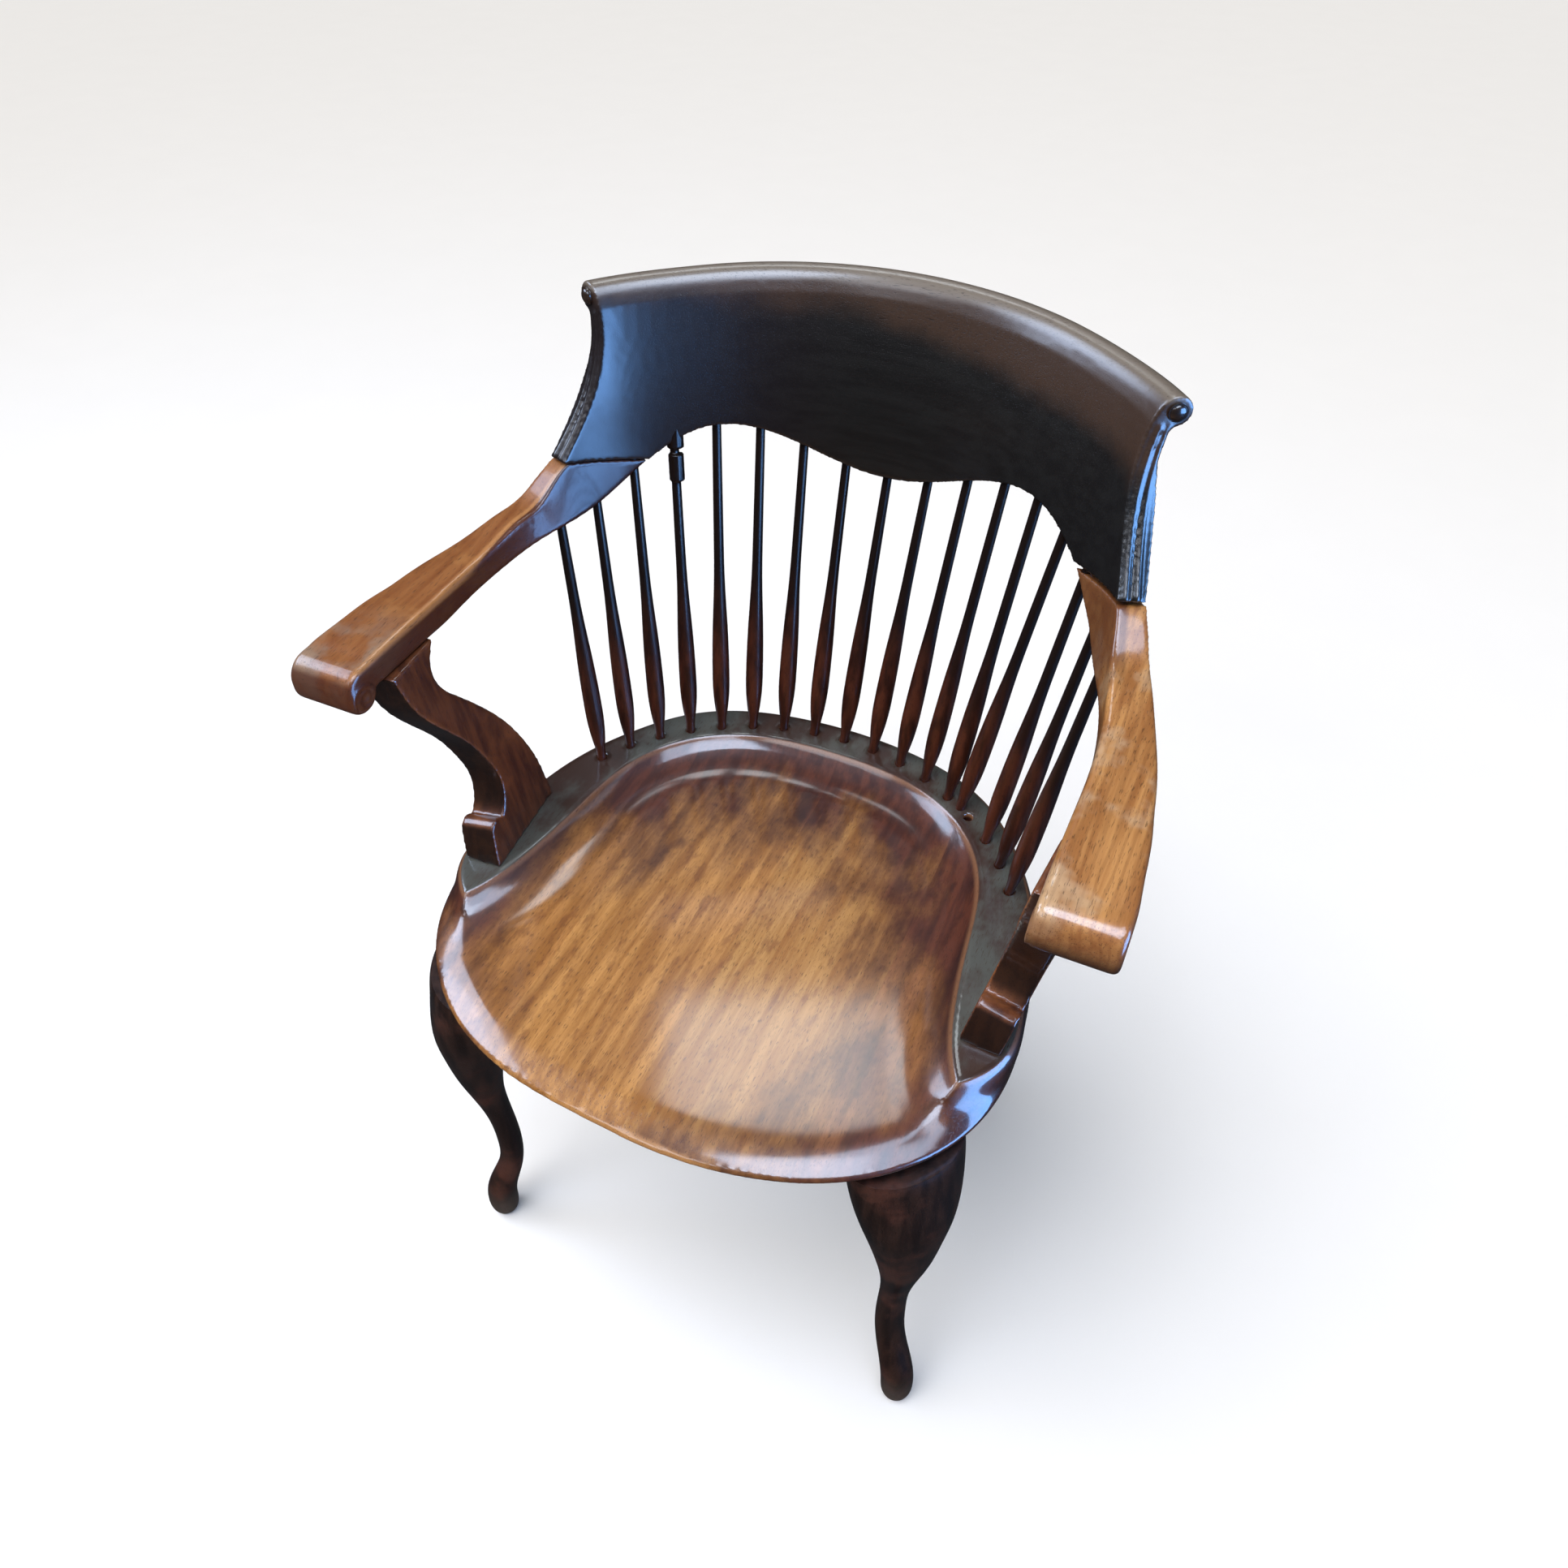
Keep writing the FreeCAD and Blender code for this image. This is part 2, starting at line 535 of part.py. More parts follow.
def spindle(index, name):
    """One turned spindle, as a half profile swept round its axis."""
    loose = index == LOOSE_SPINDLE
    foot, tip = spindle_ends(index, S["loose_slip"] if loose else 0.0)
    axis = (tip - foot).normalize()
    body = doc.addObject("PartDesign::Body", name)
    sketch = body.newObject("Sketcher::SketchObject", f"{name}Profile")
    plane = [o for o in body.Origin.OriginFeatures if o.Role == "XZ_Plane"][0]
    sketch.AttachmentSupport = [(plane, "")]
    sketch.MapMode = "FlatFace"
    tenon, tip_tenon = S["foot_tenon_length"], S["tip_tenon_length"]
    length = (tip - foot).Length + tenon + tip_tenon
    corners = (
        (0.0, 0.0, "0", "0"),
        (S["spindle_tenon"] / 2, 0.0, "Sizes.spindle_tenon / 2", "0"),
        (S["spindle_tenon"] / 2, tenon + 3, "Sizes.spindle_tenon / 2", "Sizes.foot_tenon_length + 3"),
        (0.0, 0.0, f"Sizes.spindle_tenon * {(1 - FOOT_BEND) / 2} + Sizes.spindle_belly * {FOOT_BEND / 2}",
         f"Sizes.foot_tenon_length + {3 * (1 - FOOT_BEND)} + Sizes.belly_height * {FOOT_BEND}"),
        (S["spindle_belly"] / 2, tenon + S["belly_height"], "Sizes.spindle_belly / 2",
         "Sizes.foot_tenon_length + Sizes.belly_height"),
        (0.0, 0.0, f"Sizes.spindle_belly * {(1 - NECK_BEND) / 2} + Sizes.spindle_neck * {NECK_BEND / 2}",
         f"Sizes.foot_tenon_length + Sizes.belly_height * {1 - NECK_BEND} + Sizes.neck_height * {NECK_BEND}"),
        (S["spindle_neck"] / 2, tenon + S["neck_height"], "Sizes.spindle_neck / 2",
         "Sizes.foot_tenon_length + Sizes.neck_height"),
        (S["spindle_tip"] / 2, length - tip_tenon, "Sizes.spindle_tip / 2",
         f"{length} - Sizes.tip_tenon_length"),
        (S["spindle_tip"] / 2, length, "Sizes.spindle_tip / 2", f"{length}"),
        (0.0, length, "0", f"{length}"),
    )
    points = [Vector(x, z, 0) for x, z, _, _ in corners]
    points[3] = points[2] + (points[4] - points[2]) * FOOT_BEND
    points[5] = points[4] + (points[6] - points[4]) * NECK_BEND

    def lathe_arc(a, b, level):
        """An arc between two corners whose tangent is upright at the one called level."""
        other = a if level is b else b
        run = other - level
        radius = (run.x ** 2 + run.y ** 2) / (2 * run.x)
        centre = Vector(level.x + radius, level.y, 0)
        angles = [math.atan2(p.y - centre.y, p.x - centre.x) for p in (a, b)]
        if radius > 0:
            angles = [angle % (2 * math.pi) for angle in angles]
        circle = Part.Circle(centre, Vector(0, 0, 1), abs(radius))
        return Part.ArcOfCircle(circle, min(angles), max(angles))

    shapes = [
        Part.LineSegment(points[0], points[1]),
        Part.LineSegment(points[1], points[2]),
        lathe_arc(points[2], points[3], points[2]),
        lathe_arc(points[3], points[4], points[4]),
        lathe_arc(points[4], points[5], points[4]),
        lathe_arc(points[5], points[6], points[6]),
        Part.LineSegment(points[6], points[7]),
        Part.LineSegment(points[7], points[8]),
        Part.LineSegment(points[8], points[9]),
        Part.LineSegment(points[9], points[0]),
    ]
    for piece in shapes:
        sketch.addGeometry(piece, False)
    bind_profile(sketch, points, corners)
    turned = body.newObject("PartDesign::Revolution", f"{name}Turning")
    turned.Profile = sketch
    turned.ReferenceAxis = (sketch, ["V_Axis"])
    turned.Angle = 360
    body.Tip = turned
    start = foot - axis * tenon
    body.Placement = Placement(start, Rotation(Vector(0, 0, 1), axis))
    body.setExpression("Placement.Base.y", f"{start.y} - Sizes.middle_shift")
    if loose:
        below_rim = doc.addObject("Part::Box", "BelowRim")
        below_rim.Length = 200
        below_rim.Width = 200
        below_rim.Height = 100
        below_rim.Placement = Placement(Vector(foot.x - 100, foot.y - 100, seat_top - 100), Rotation())
        node(name, combine("Part::Cut", f"{name}Sawn", body, below_rim))
    else:
        node(name, body)
    socket, _ = spindle_ends(index)
    drill = (tip - socket).normalize()
    foot_bore = rod(f"{name}FootBore", "Sizes.spindle_tenon", "Sizes.foot_tenon_length + 8.4",
                    socket - drill * (tenon + 0.4), drill, " + 2 * Sizes.joint_clearance")
    tip_bore = rod(f"{name}TipBore", "Sizes.spindle_tip", "Sizes.tip_tenon_length + 12.4",
                   tip - axis * 12.0, axis, " + 2 * Sizes.joint_clearance")
    return foot_bore, tip_bore


foot_bores = []
crest_bores = []
arm_bores = {-1: [], 1: []}
middle_count = (SPINDLES - 1) // 2
for index in range(-middle_count, middle_count + 1):
    foot_bore, tip_bore = spindle(index, f"spindle_{index + middle_count + 1:02d}")
    foot_bores.append(foot_bore)
    from_end = middle_count - abs(index)
    if from_end < ARM_SPINDLES:
        arm_bores[1 if index > 0 else -1].append(tip_bore)
    if from_end >= ARM_SPINDLES - 1:
        crest_bores.append(tip_bore)

crest_tools = crest_bores + bores_left[:] + bores_right[:] + [button_hole_left, button_hole_right]
crest_rail = combine("Part::Cut", "CrestRail", crest_trimmed, group("CrestBores", crest_tools))


# Arms: tall and thin where they meet the crest, twisting into a flat paddle with a down-turned scroll
def rounded_section(corners, radii):
    """A four-sided section with rounded corners, listed inner top, outer top, outer low, inner low."""
    edges = []
    starts = []
    ends = []
    for i, (corner, radius) in enumerate(zip(corners, radii)):
        before = (corners[i - 1] - corner).normalize()
        after = (corners[(i + 1) % 4] - corner).normalize()
        starts.append(corner + before * radius)
        ends.append(corner + after * radius)
    for i in range(4):
        bend = Part.BezierCurve()
        bend.setPoles([starts[i], corners[i], ends[i]])
        edges.append(bend.toShape())
        edges.append(Part.makeLine(ends[i], starts[(i + 1) % 4]))
    return Part.Wire(edges)


BLANK_RISE = 0.6
TWIST = (
    # share of the seam's angle, inner and outer reach, rise over the arm's top, fall across, the two
    # reaches of the underside, and how far it is above the paddle's
    (1.00, -1.0, 20.5, 34.0, 2.0, -12.0, 7.5, 16.0),
    (1.07, -2.5, 22.0, 20.5, 2.5, -12.0, 14.0, 14.5),
    (1.18, -4.0, 26.0, 11.0, 3.5, -8.0, 22.0, 10.5),
    (1.30, -2.0, 34.0, 4.5, 3.5, -3.5, 31.5, 5.5),
)
PADDLE = (
    # Y as a share of the arm's front reach, reaches and rise as before
    (0.14, 0.5, 0.76, 1.5, 1.5, 0.0, 0.74, 2.0),
    (-0.05, 1.0, 0.83, 0.5, 1.0, 0.5, 0.81, 0.0),
    (-0.26, 0.8, 0.90, 0.2, 0.6, 0.3, 0.89, 0.0),
    (-0.50, 0.3, 0.95, 0.0, 0.3, 0.0, 0.945, 0.0),
    (-0.70, 0.0, 0.99, -1.0, 0.0, 0.0, 0.985, 0.0),
    (-0.79, 0.0, 1.0, -2.0, 0.0, 0.0, 1.0, 0.0),
)
reach = S["arm_inner_reach"]
arm_top = S["arm_height"]
sections = []
for angle in (44.0, 49.0, 53.0, 58.0, 63.0):
    top = S["seam_height"] - 2 + BLANK_RISE * (S["seam_angle"] - angle)
    low = lower_edge(angle)
    inner_top, inner_low = inner_radius(angle, top), inner_radius(angle, low)
    wide = blend(S["crest_thickness"], 21.0, smooth_step(angle, 49.0, 60.0))
    corners = [bow_point(angle, inner_top, top), bow_point(angle, inner_top + wide, top),
               bow_point(angle, inner_low + wide, low), bow_point(angle, inner_low, low)]
    sections.append(rounded_section(corners, (0.8, 0.8, 1.5, 1.5)))
for share, inner, outer, rise, fall, low_inner, low_outer, lift in TWIST:
    angle = S["seam_angle"] * share
    corners = [bow_point(angle, reach + inner, arm_top + rise),
               bow_point(angle, reach + outer, arm_top + rise - fall),
               bow_point(angle, reach + low_outer, arm_under + lift),
               bow_point(angle, reach + low_inner, arm_under + lift)]
    round_top = blend(0.8, 5.0, smooth_step(share, 1.0, 1.3))
    sections.append(rounded_section(corners, (round_top, round_top, 2.5, 2.5)))
for share, inner, outer, rise, fall, low_inner, low_outer, lift in PADDLE:
    y = S["arm_front_reach"] * share
    corners = [Vector(reach + inner, y, arm_top + rise),
               Vector(reach + outer * S["arm_width"], y, arm_top + rise - fall),
               Vector(reach + low_outer * S["arm_width"], y, arm_under + lift),
               Vector(reach + low_inner, y, arm_under + lift)]
    sections.append(rounded_section(corners, (5.0, 5.0, 3.0, 3.0)))
arm_blade = feature("ArmBlade", Part.makeLoft(sections, True, False))

# The scroll: the arm's front end, turned down and curled under
scroll_y = -0.79 * S["arm_front_reach"]
scroll_top = arm_top - 2.0
curl = 0.74 * S["scroll_radius"]
eye = Vector(reach, S["scroll_radius"] - S["arm_front_reach"], scroll_top - S["scroll_radius"])
curl_eye = Vector(reach, curl - S["arm_front_reach"], eye.z - 5.0)


def around(centre, radius, angle):
    turn = math.radians(angle)
    return centre + Vector(0, radius * math.cos(turn), radius * math.sin(turn))


CURL_END = 330.0
rear_top = Vector(reach, scroll_y, scroll_top)
rear_low = Vector(reach, scroll_y, arm_under)
crown = around(eye, S["scroll_radius"], 90)
nose = around(eye, S["scroll_radius"], 180)
chin = around(curl_eye, curl, 180)
curl_back = around(curl_eye, curl, CURL_END)
scroll_wire = Part.Wire([
    Part.makeLine(rear_top, crown),
    Part.Arc(crown, around(eye, S["scroll_radius"], 135), nose).toShape(),
    Part.makeLine(nose, chin),
    Part.Arc(chin, around(curl_eye, curl, (180 + CURL_END) / 2), curl_back).toShape(),
    Part.makeLine(curl_back, rear_low),
    Part.makeLine(rear_low, rear_top),
])
scroll_block = Part.Face(scroll_wire).extrude(Vector(S["arm_width"], 0, 0))
SCROLL_ROUNDING = 4.5
rounded = []
for edge in scroll_block.Edges:
    box = edge.BoundBox
    flat = box.XLength < 1e-6
    behind_notch = box.YMax > scroll_y - 1e-6 and box.ZMin < arm_under + 1e-6
    if flat and not behind_notch:
        rounded.append(edge)
scroll = feature("ArmScroll", scroll_block.makeFillet(SCROLL_ROUNDING, rounded))
arm_blank = union("ArmBlank", [arm_blade, scroll])
arm_blank_left = doc.addObject("Part::Mirroring", "ArmBlankLeft")
arm_blank_left.Source = arm_blank
arm_blank_left.Normal = Vector(1, 0, 0)

# Arm supports: S-shaped pieces of plank, leaning outwards, with a hooked foot on the seat
lean = math.radians(S["support_lean"])
seat_to_arm = arm_under - seat_top
SUPPORT_BACK = (
    (34.0, -0.06), (32.5, 0.05), (31.5, 0.13), (29.0, 0.22), (21.0, 0.35), (8.0, 0.485), (-9.0, 0.61),
    (-30.0, 0.74), (-45.0, 0.86), (-43.5, 0.93), (-35.0, 0.985), (-25.0, 1.05),
)
SUPPORT_FRONT = (
    (-88.0, 1.05), (-84.5, 0.985), (-80.0, 0.88), (-61.0, 0.706), (-40.0, 0.555), (-26.5, 0.40),
    (-22.5, 0.29), (-27.0, 0.215), (-38.0, 0.158),
)
SUPPORT_HOOK = ((-38.0, 0.158), (-46.0, 0.180), (-53.0, 0.168), (-58.0, 0.115), (-62.0, 0.05), (-65.0, -0.06))
up_scale = seat_to_arm / math.cos(lean)


def support_curve(rows):
    return [Vector(0, y, share * up_scale) for y, share in rows]


back_points, front_points, hook_points = (support_curve(r) for r in (SUPPORT_BACK, SUPPORT_FRONT, SUPPORT_HOOK))
support_outline = feature("SupportOutline", Part.Face(Part.Wire([
    spline(back_points).toShape(),
    Part.makeLine(back_points[-1], front_points[0]),
    spline(front_points).toShape(),
    spline(hook_points).toShape(),
    Part.makeLine(hook_points[-1], back_points[0]),
])))
plank = doc.addObject("Part::Extrusion", "SupportPlank")
plank.Base = support_outline
plank.DirMode = "Custom"
plank.Dir = Vector(1, 0, 0)
plank.setExpression("LengthFwd", "Sizes.support_thickness")
plank.Solid = True
plank_turn = Rotation(Vector(0, 0, 1), -S["support_foot_turn"]).multiply(Rotation(Vector(0, 1, 0), S["support_lean"]))
plank.Placement = Placement(Vector(S["support_foot_reach"], -20.0, seat_top), plank_turn).multiply(
    Placement(Vector(0, 20.0, 0), Rotation()))
support_room = doc.addObject("Part::Box", "SupportRoom")
support_room.Length = 200
support_room.Width = 200
support_room.setExpression("Height", "Sizes.arm_height - Sizes.arm_thickness - Sizes.rim_height + 7")
support_room.Placement = Placement(Vector(160, -110, seat_top - 7), Rotation())
support_room_cut = combine("Part::Common", "SupportTrimmed", plank, support_room)
support_blank = combine("Part::Cut", "SupportScribed", support_room_cut, seat_blank)
support_blank_left = doc.addObject("Part::Mirroring", "SupportBlankLeft")
support_blank_left.Source = support_blank
support_blank_left.Normal = Vector(1, 0, 0)

# Dowel between each support and its arm, and two screws up through the seat into each support
SCREW_PLACES = (-46.0, 6.0)
DOWEL_Y = -60.0
SLOT_DEPTH = 1.0


def support_fixings(side, name):
    """The dowel and the screws of one support, with the bores they need."""
    turn = math.radians(S["support_foot_turn"])
    rise = math.tan(lean) * seat_to_arm
    dowel_x = side * (S["support_foot_reach"] + rise + S["support_thickness"] / 2 + 2.0)
    start = Vector(dowel_x, DOWEL_Y, arm_under - S["dowel_length"] / 2 - 3)
    up = Vector(0, 0, 1)
    dowel = rod(f"{name}Dowel", "Sizes.dowel_width", "Sizes.dowel_length", start, up)
    dowel_bore = rod(f"{name}DowelBore", "Sizes.dowel_width", "Sizes.dowel_length + 0.6", start - up * 0.3, up,
                     " + 2 * Sizes.joint_clearance")
    screws = []
    screw_bores = []
    for count, y in enumerate(SCREW_PLACES, start=1):
        x = side * (S["support_foot_reach"] + 0.5 * S["support_thickness"] + 1.5 - math.sin(turn) * (y + 20))
        spot = Vector(x, y, seat_under)
        label = f"{name}Screw{count}"
        shank = rod(f"{label}Shank", "Sizes.screw_shank", "Sizes.screw_length", spot, up)
        cones = []
        for extra, suffix in (("", "Head"), (" + 2 * Sizes.joint_clearance", "Sink")):
            cone = doc.addObject("Part::Cone", f"{label}{suffix}")
            cone.setExpression("Radius1", f"(Sizes.screw_head{extra}) / 2")
            cone.setExpression("Radius2", f"(Sizes.screw_shank{extra}) / 2")
            cone.setExpression("Height", "Sizes.screw_head * 0.45")
            cone.Placement = Placement(spot, Rotation())
            cones.append(cone)
        slot = doc.addObject("Part::Box", f"{label}Slot")
        slot.Length = 1.2
        slot.Width = 12
        slot.Height = SLOT_DEPTH + 1
        slot.Placement = Placement(spot - Vector(0.6, 6, 1), Rotation())
        screws.append(combine("Part::Cut", label, union(f"{label}Blank", [shank, cones[0]]), slot))
        bore = rod(f"{label}Bore", "Sizes.screw_shank", "Sizes.screw_length + 1.4", spot - up, up,
                   " + 2 * Sizes.joint_clearance")
        screw_bores.append(union(f"{label}Bores", [bore, cones[1]]))
    return dowel, dowel_bore, screws, screw_bores


dowel_l, dowel_bore_l, screws_l, screw_bores_l = support_fixings(-1, "SupportLeft")
dowel_r, dowel_bore_r, screws_r, screw_bores_r = support_fixings(1, "SupportRight")

# Legs: cabriole, from elliptical sections square to the floor, each row a height, the shift of the
# section along the leg's diagonal, and its half widths along and across that diagonal
FRONT_LEG = (
    (1.0, -19.5, 0.65, 0.96), (0.955, -14.5, 0.65, 0.95), (0.88, -8.0, 0.64, 0.89), (0.82, -4.0, 0.62, 0.80),
    (0.75, -1.5, 0.55, 0.67), (0.651, 0.5, 0.43, 0.50), (0.547, -0.5, 0.29, 0.35), (0.448, -4.0, 0.23, 0.27),
    (0.332, -5.5, 0.225, 0.275), (0.218, 0.5, 0.24, 0.275), (0.116, 15.5, 0.30, 0.295), (0.058, 19.0, 0.295, 0.30),
    (0.022, 19.0, 0.27, 0.27), (0.0, 18.5, 0.185, 0.185),
)
REAR_LEG = (
    (1.0, -6.0, 0.58, 0.70), (0.93, -4.0, 0.58, 0.69), (0.83, 0.0, 0.54, 0.56), (0.70, 6.0, 0.42, 0.44),
    (0.56, 14.0, 0.31, 0.325), (0.44, 23.0, 0.26, 0.27), (0.32, 34.0, 0.25, 0.26), (0.21, 48.0, 0.26, 0.265),
    (0.116, 64.0, 0.31, 0.30), (0.058, 69.0, 0.305, 0.305), (0.022, 69.0, 0.275, 0.275), (0.0, 68.5, 0.19, 0.19),
)


def leg_blank(name, rows, top, outward):
    """A cabriole leg with a round tenon, its top at one point and its knee turned outward."""
    rings = []
    for count, (share, shift, along, across) in enumerate(rows, start=1):
        ring = doc.addObject("Part::Ellipse", f"{name}Ring{count:02d}")
        deep = along < across
        long_half, short_half = (across, along) if deep else (along, across)
        ring.setExpression("MajorRadius", f"Sizes.knee_width / 2 * {max(long_half, short_half + 0.001)}")
        ring.setExpression("MinorRadius", f"Sizes.knee_width / 2 * {short_half}")
        level = Vector(0, 0, share * seat_under)
        turn = math.degrees(math.atan2(outward.y, outward.x)) + 90
        ring.Placement = Placement(top + outward * shift + level, Rotation(Vector(0, 0, 1), turn))
        rings.append(ring)
    shaft = doc.addObject("Part::Loft", f"{name}Shaft")
    shaft.Sections = rings
    shaft.Solid = True
    shaft.Ruled = False
    spot = top + outward * rows[0][1] + Vector(0, 0, seat_under)
    tenon = rod(f"{name}Tenon", "Sizes.leg_tenon", "Sizes.leg_tenon_length + 4", spot - Vector(0, 0, 4), Vector(0, 0, 1))
    blank = union(name, [shaft, tenon])
    bores = []
    for side in (-1, 1):
        place = Vector(side * spot.x, spot.y, seat_under - 2)
        bores.append(rod(f"{name}Bore{side + 1}", "Sizes.leg_tenon", "Sizes.leg_tenon_length + 2.4", place,
                         Vector(0, 0, 1), " + 2 * Sizes.joint_clearance"))
    mirrored = doc.addObject("Part::Mirroring", f"{name}Left")
    mirrored.Source = blank
    mirrored.Normal = Vector(1, 0, 0)
    return blank, mirrored, bores


FRONT_OUTWARD = Vector(0.80, -0.60, 0).normalize()
REAR_OUTWARD = Vector(0.42, 0.91, 0).normalize()
front_top = Vector(S["front_leg_reach"], -S["front_leg_forward"], 0)
rear_top_place = Vector(S["rear_leg_reach"], S["rear_leg_back"], 0)
front_leg, front_leg_left, front_bores = leg_blank("FrontLeg", FRONT_LEG, front_top, FRONT_OUTWARD)
rear_leg, rear_leg_left, rear_bores = leg_blank("RearLeg", REAR_LEG, rear_top_place, REAR_OUTWARD)

# Sockets in the seat, then its four glued boards, left to right
seat_tools = group("SeatBores", foot_bores + front_bores + rear_bores + screw_bores_l + screw_bores_r)
seat_bored = combine("Part::Cut", "SeatBored", dished_seat, seat_tools)
shift, step = S["glue_line_shift"], S["glue_line_step"]
BOARDS = (
    ("seat_board_left", -400.0, shift - step),
    ("seat_board_mid_left", shift - step, shift),
    ("seat_board_mid_right", shift, shift + step),
    ("seat_board_right", shift + step, 400.0),
)
for name, low, high in BOARDS:
    slab = doc.addObject("Part::Box", f"{name}_slab")
    slab.Length = high - low
    slab.Width = 800
    slab.Height = 200
    slab.Placement = Placement(Vector(low, -400, seat_top - 100), Rotation())
    node(name, combine("Part::Common", f"{name}_piece", seat_bored, slab))

# Named pieces
node("crest_rail", crest_rail)
node("crest_button_left", button_left)
node("crest_button_right", button_right)
over_right = seam_block(1, "SeamOverRight", S["seam_gap_right"], True)
over_left = seam_block(-1, "SeamOverLeft", S["seam_gap_left"], True)
arm_joined_right = combine("Part::Cut", "ArmJoinedRight", arm_blank, over_right)
arm_joined_left = combine("Part::Cut", "ArmJoinedLeft", arm_blank_left, over_left)
node("arm_right", combine("Part::Cut", "ArmRight", arm_joined_right,
                          group("ArmBoresRight", arm_bores[1] + bores_right + [dowel_bore_r])))
node("arm_left", combine("Part::Cut", "ArmLeft", arm_joined_left,
                         group("ArmBoresLeft", arm_bores[-1] + bores_left + [dowel_bore_l])))
node("arm_support_right", combine("Part::Cut", "SupportRight", support_blank,
                                  group("SupportBoresRight", [dowel_bore_r] + screw_bores_r)))
node("arm_support_left", combine("Part::Cut", "SupportLeft", support_blank_left,
                                 group("SupportBoresLeft", [dowel_bore_l] + screw_bores_l)))
node("front_leg_right", front_leg)
node("front_leg_left", front_leg_left)
node("rear_leg_right", rear_leg)
node("rear_leg_left", rear_leg_left)
node("crest_dowels", group("CrestDowels", dowels))
node("support_dowels", group("SupportDowels", [dowel_l, dowel_r]))
node("support_screws", group("SupportScrews", screws_l + screws_r))
for name, item in nodes.items():
    if not name.startswith("spindle") and item not in (front_leg_left, rear_leg_left):
        item.setExpression("Placement.Base.y", "-Sizes.middle_shift")

doc.recompute()
faults = []
for item in doc.Objects:
    if "Invalid" in item.State or "Error" in item.State:
        faults.append(f"{item.Name}: {item.State}")
for name, item in nodes.items():
    if item.Shape.isNull() or not item.Shape.isValid() or not item.Shape.Solids:
        faults.append(f"{name}: bad shape")
if faults:
    raise RuntimeError("; ".join(faults))
os.makedirs("parts", exist_ok=True)
for name, item in nodes.items():
    item.Shape.exportStep(f"parts/{name}.step")
    print(f"{name}: {len(item.Shape.Solids)} solid(s), {item.Shape.Volume / 1000:.1f} cm3")
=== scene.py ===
import math
import bpy
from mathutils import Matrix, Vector


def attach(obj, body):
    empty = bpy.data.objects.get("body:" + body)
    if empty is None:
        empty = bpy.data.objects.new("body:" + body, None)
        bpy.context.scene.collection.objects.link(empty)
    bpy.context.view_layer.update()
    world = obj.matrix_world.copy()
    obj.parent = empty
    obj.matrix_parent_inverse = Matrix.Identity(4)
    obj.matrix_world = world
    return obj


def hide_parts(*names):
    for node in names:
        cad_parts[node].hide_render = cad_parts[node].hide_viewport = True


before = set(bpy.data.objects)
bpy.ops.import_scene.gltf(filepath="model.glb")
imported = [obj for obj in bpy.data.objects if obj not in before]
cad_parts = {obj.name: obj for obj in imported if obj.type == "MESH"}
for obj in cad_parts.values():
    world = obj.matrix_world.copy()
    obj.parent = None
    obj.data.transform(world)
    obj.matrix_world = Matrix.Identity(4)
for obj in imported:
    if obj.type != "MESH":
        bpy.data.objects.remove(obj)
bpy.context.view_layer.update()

# Studio: the photographer stood in front of the chair, a little to its left, and looked down on it with a
# wide phone lens. The floor is plain and pale, and soft boxes stand in for the shop's windows.
CHAIR_SHIFT = 0.0471  # the seat's middle lies this far in front of the chair's middle
CAMERA_PLACE = (0.2892, -0.5623 - CHAIR_SHIFT, 1.2049)
CAMERA_DOWN = 44.65
CAMERA_TURN = 24.6
FOCAL = 27.04
FLOOR_SIZE = 60.0

camera_data = bpy.data.cameras.new("camera")
camera_data.lens = FOCAL
camera_data.sensor_width = 36.0
camera_data.clip_end = FLOOR_SIZE
camera = bpy.data.objects.new("camera", camera_data)
camera.location = CAMERA_PLACE
camera.rotation_euler = (math.radians(90 - CAMERA_DOWN), 0.0, math.radians(CAMERA_TURN))
bpy.context.scene.collection.objects.link(camera)
bpy.context.scene.camera = camera
bpy.context.scene.view_settings.view_transform = "Standard"


def tone(code):
    """The linear colour that a shader wants for an sRGB hex value."""
    parts = [int(code[i:i + 2], 16) / 255 for i in (1, 3, 5)]
    linear = [c / 12.92 if c <= 0.04045 else ((c + 0.055) / 1.055) ** 2.4 for c in parts]
    return (*linear, 1.0)


def add(tree, kind, inputs=(), **settings):
    """Adds a node with its settings, and its inputs as numbers or links; gives back its outputs."""
    node = tree.nodes.new("ShaderNode" + kind)
    for name, value in settings.items():
        setattr(node, name, value)
    for socket, value in dict(inputs).items():
        if isinstance(value, bpy.types.NodeSocket):
            tree.links.new(value, node.inputs[socket])
        else:
            node.inputs[socket].default_value = value
    return node.outputs


def new_material(name):
    """A material with an empty node tree."""
    material = bpy.data.materials.new(name)
    material.use_nodes = True
    material.node_tree.nodes.clear()
    return material


def floor_finish():
    """Matt white floor paint, whose roller marks some 10 cm wide only just show."""
    material = new_material("matt_white_floor_paint")
    tree = material.node_tree
    place = add(tree, "TexCoord")["Object"]
    roll = add(tree, "TexNoise", {"Vector": place, "Scale": 9.0, "Detail": 3.0})[0]
    paint = add(tree, "ValToRGB", {"Fac": roll})[0]
    thin, thick = paint.node.color_ramp.elements
    thin.color = tone("#fafafa")
    thick.color = tone("#fdfdfd")
    matt = {"Base Color": paint, "Roughness": 0.75, "Specular IOR Level": 0.2}
    add(tree, "OutputMaterial", {"Surface": add(tree, "BsdfPrincipled", matt)[0]})
    return material


bpy.ops.object.select_all(action="DESELECT")
bpy.ops.mesh.primitive_plane_add(size=FLOOR_SIZE, location=(0, 0, 0))
floor = bpy.context.active_object
floor.name = "studio_floor"
floor.data.materials.append(floor_finish())
floor.visible_glossy = False

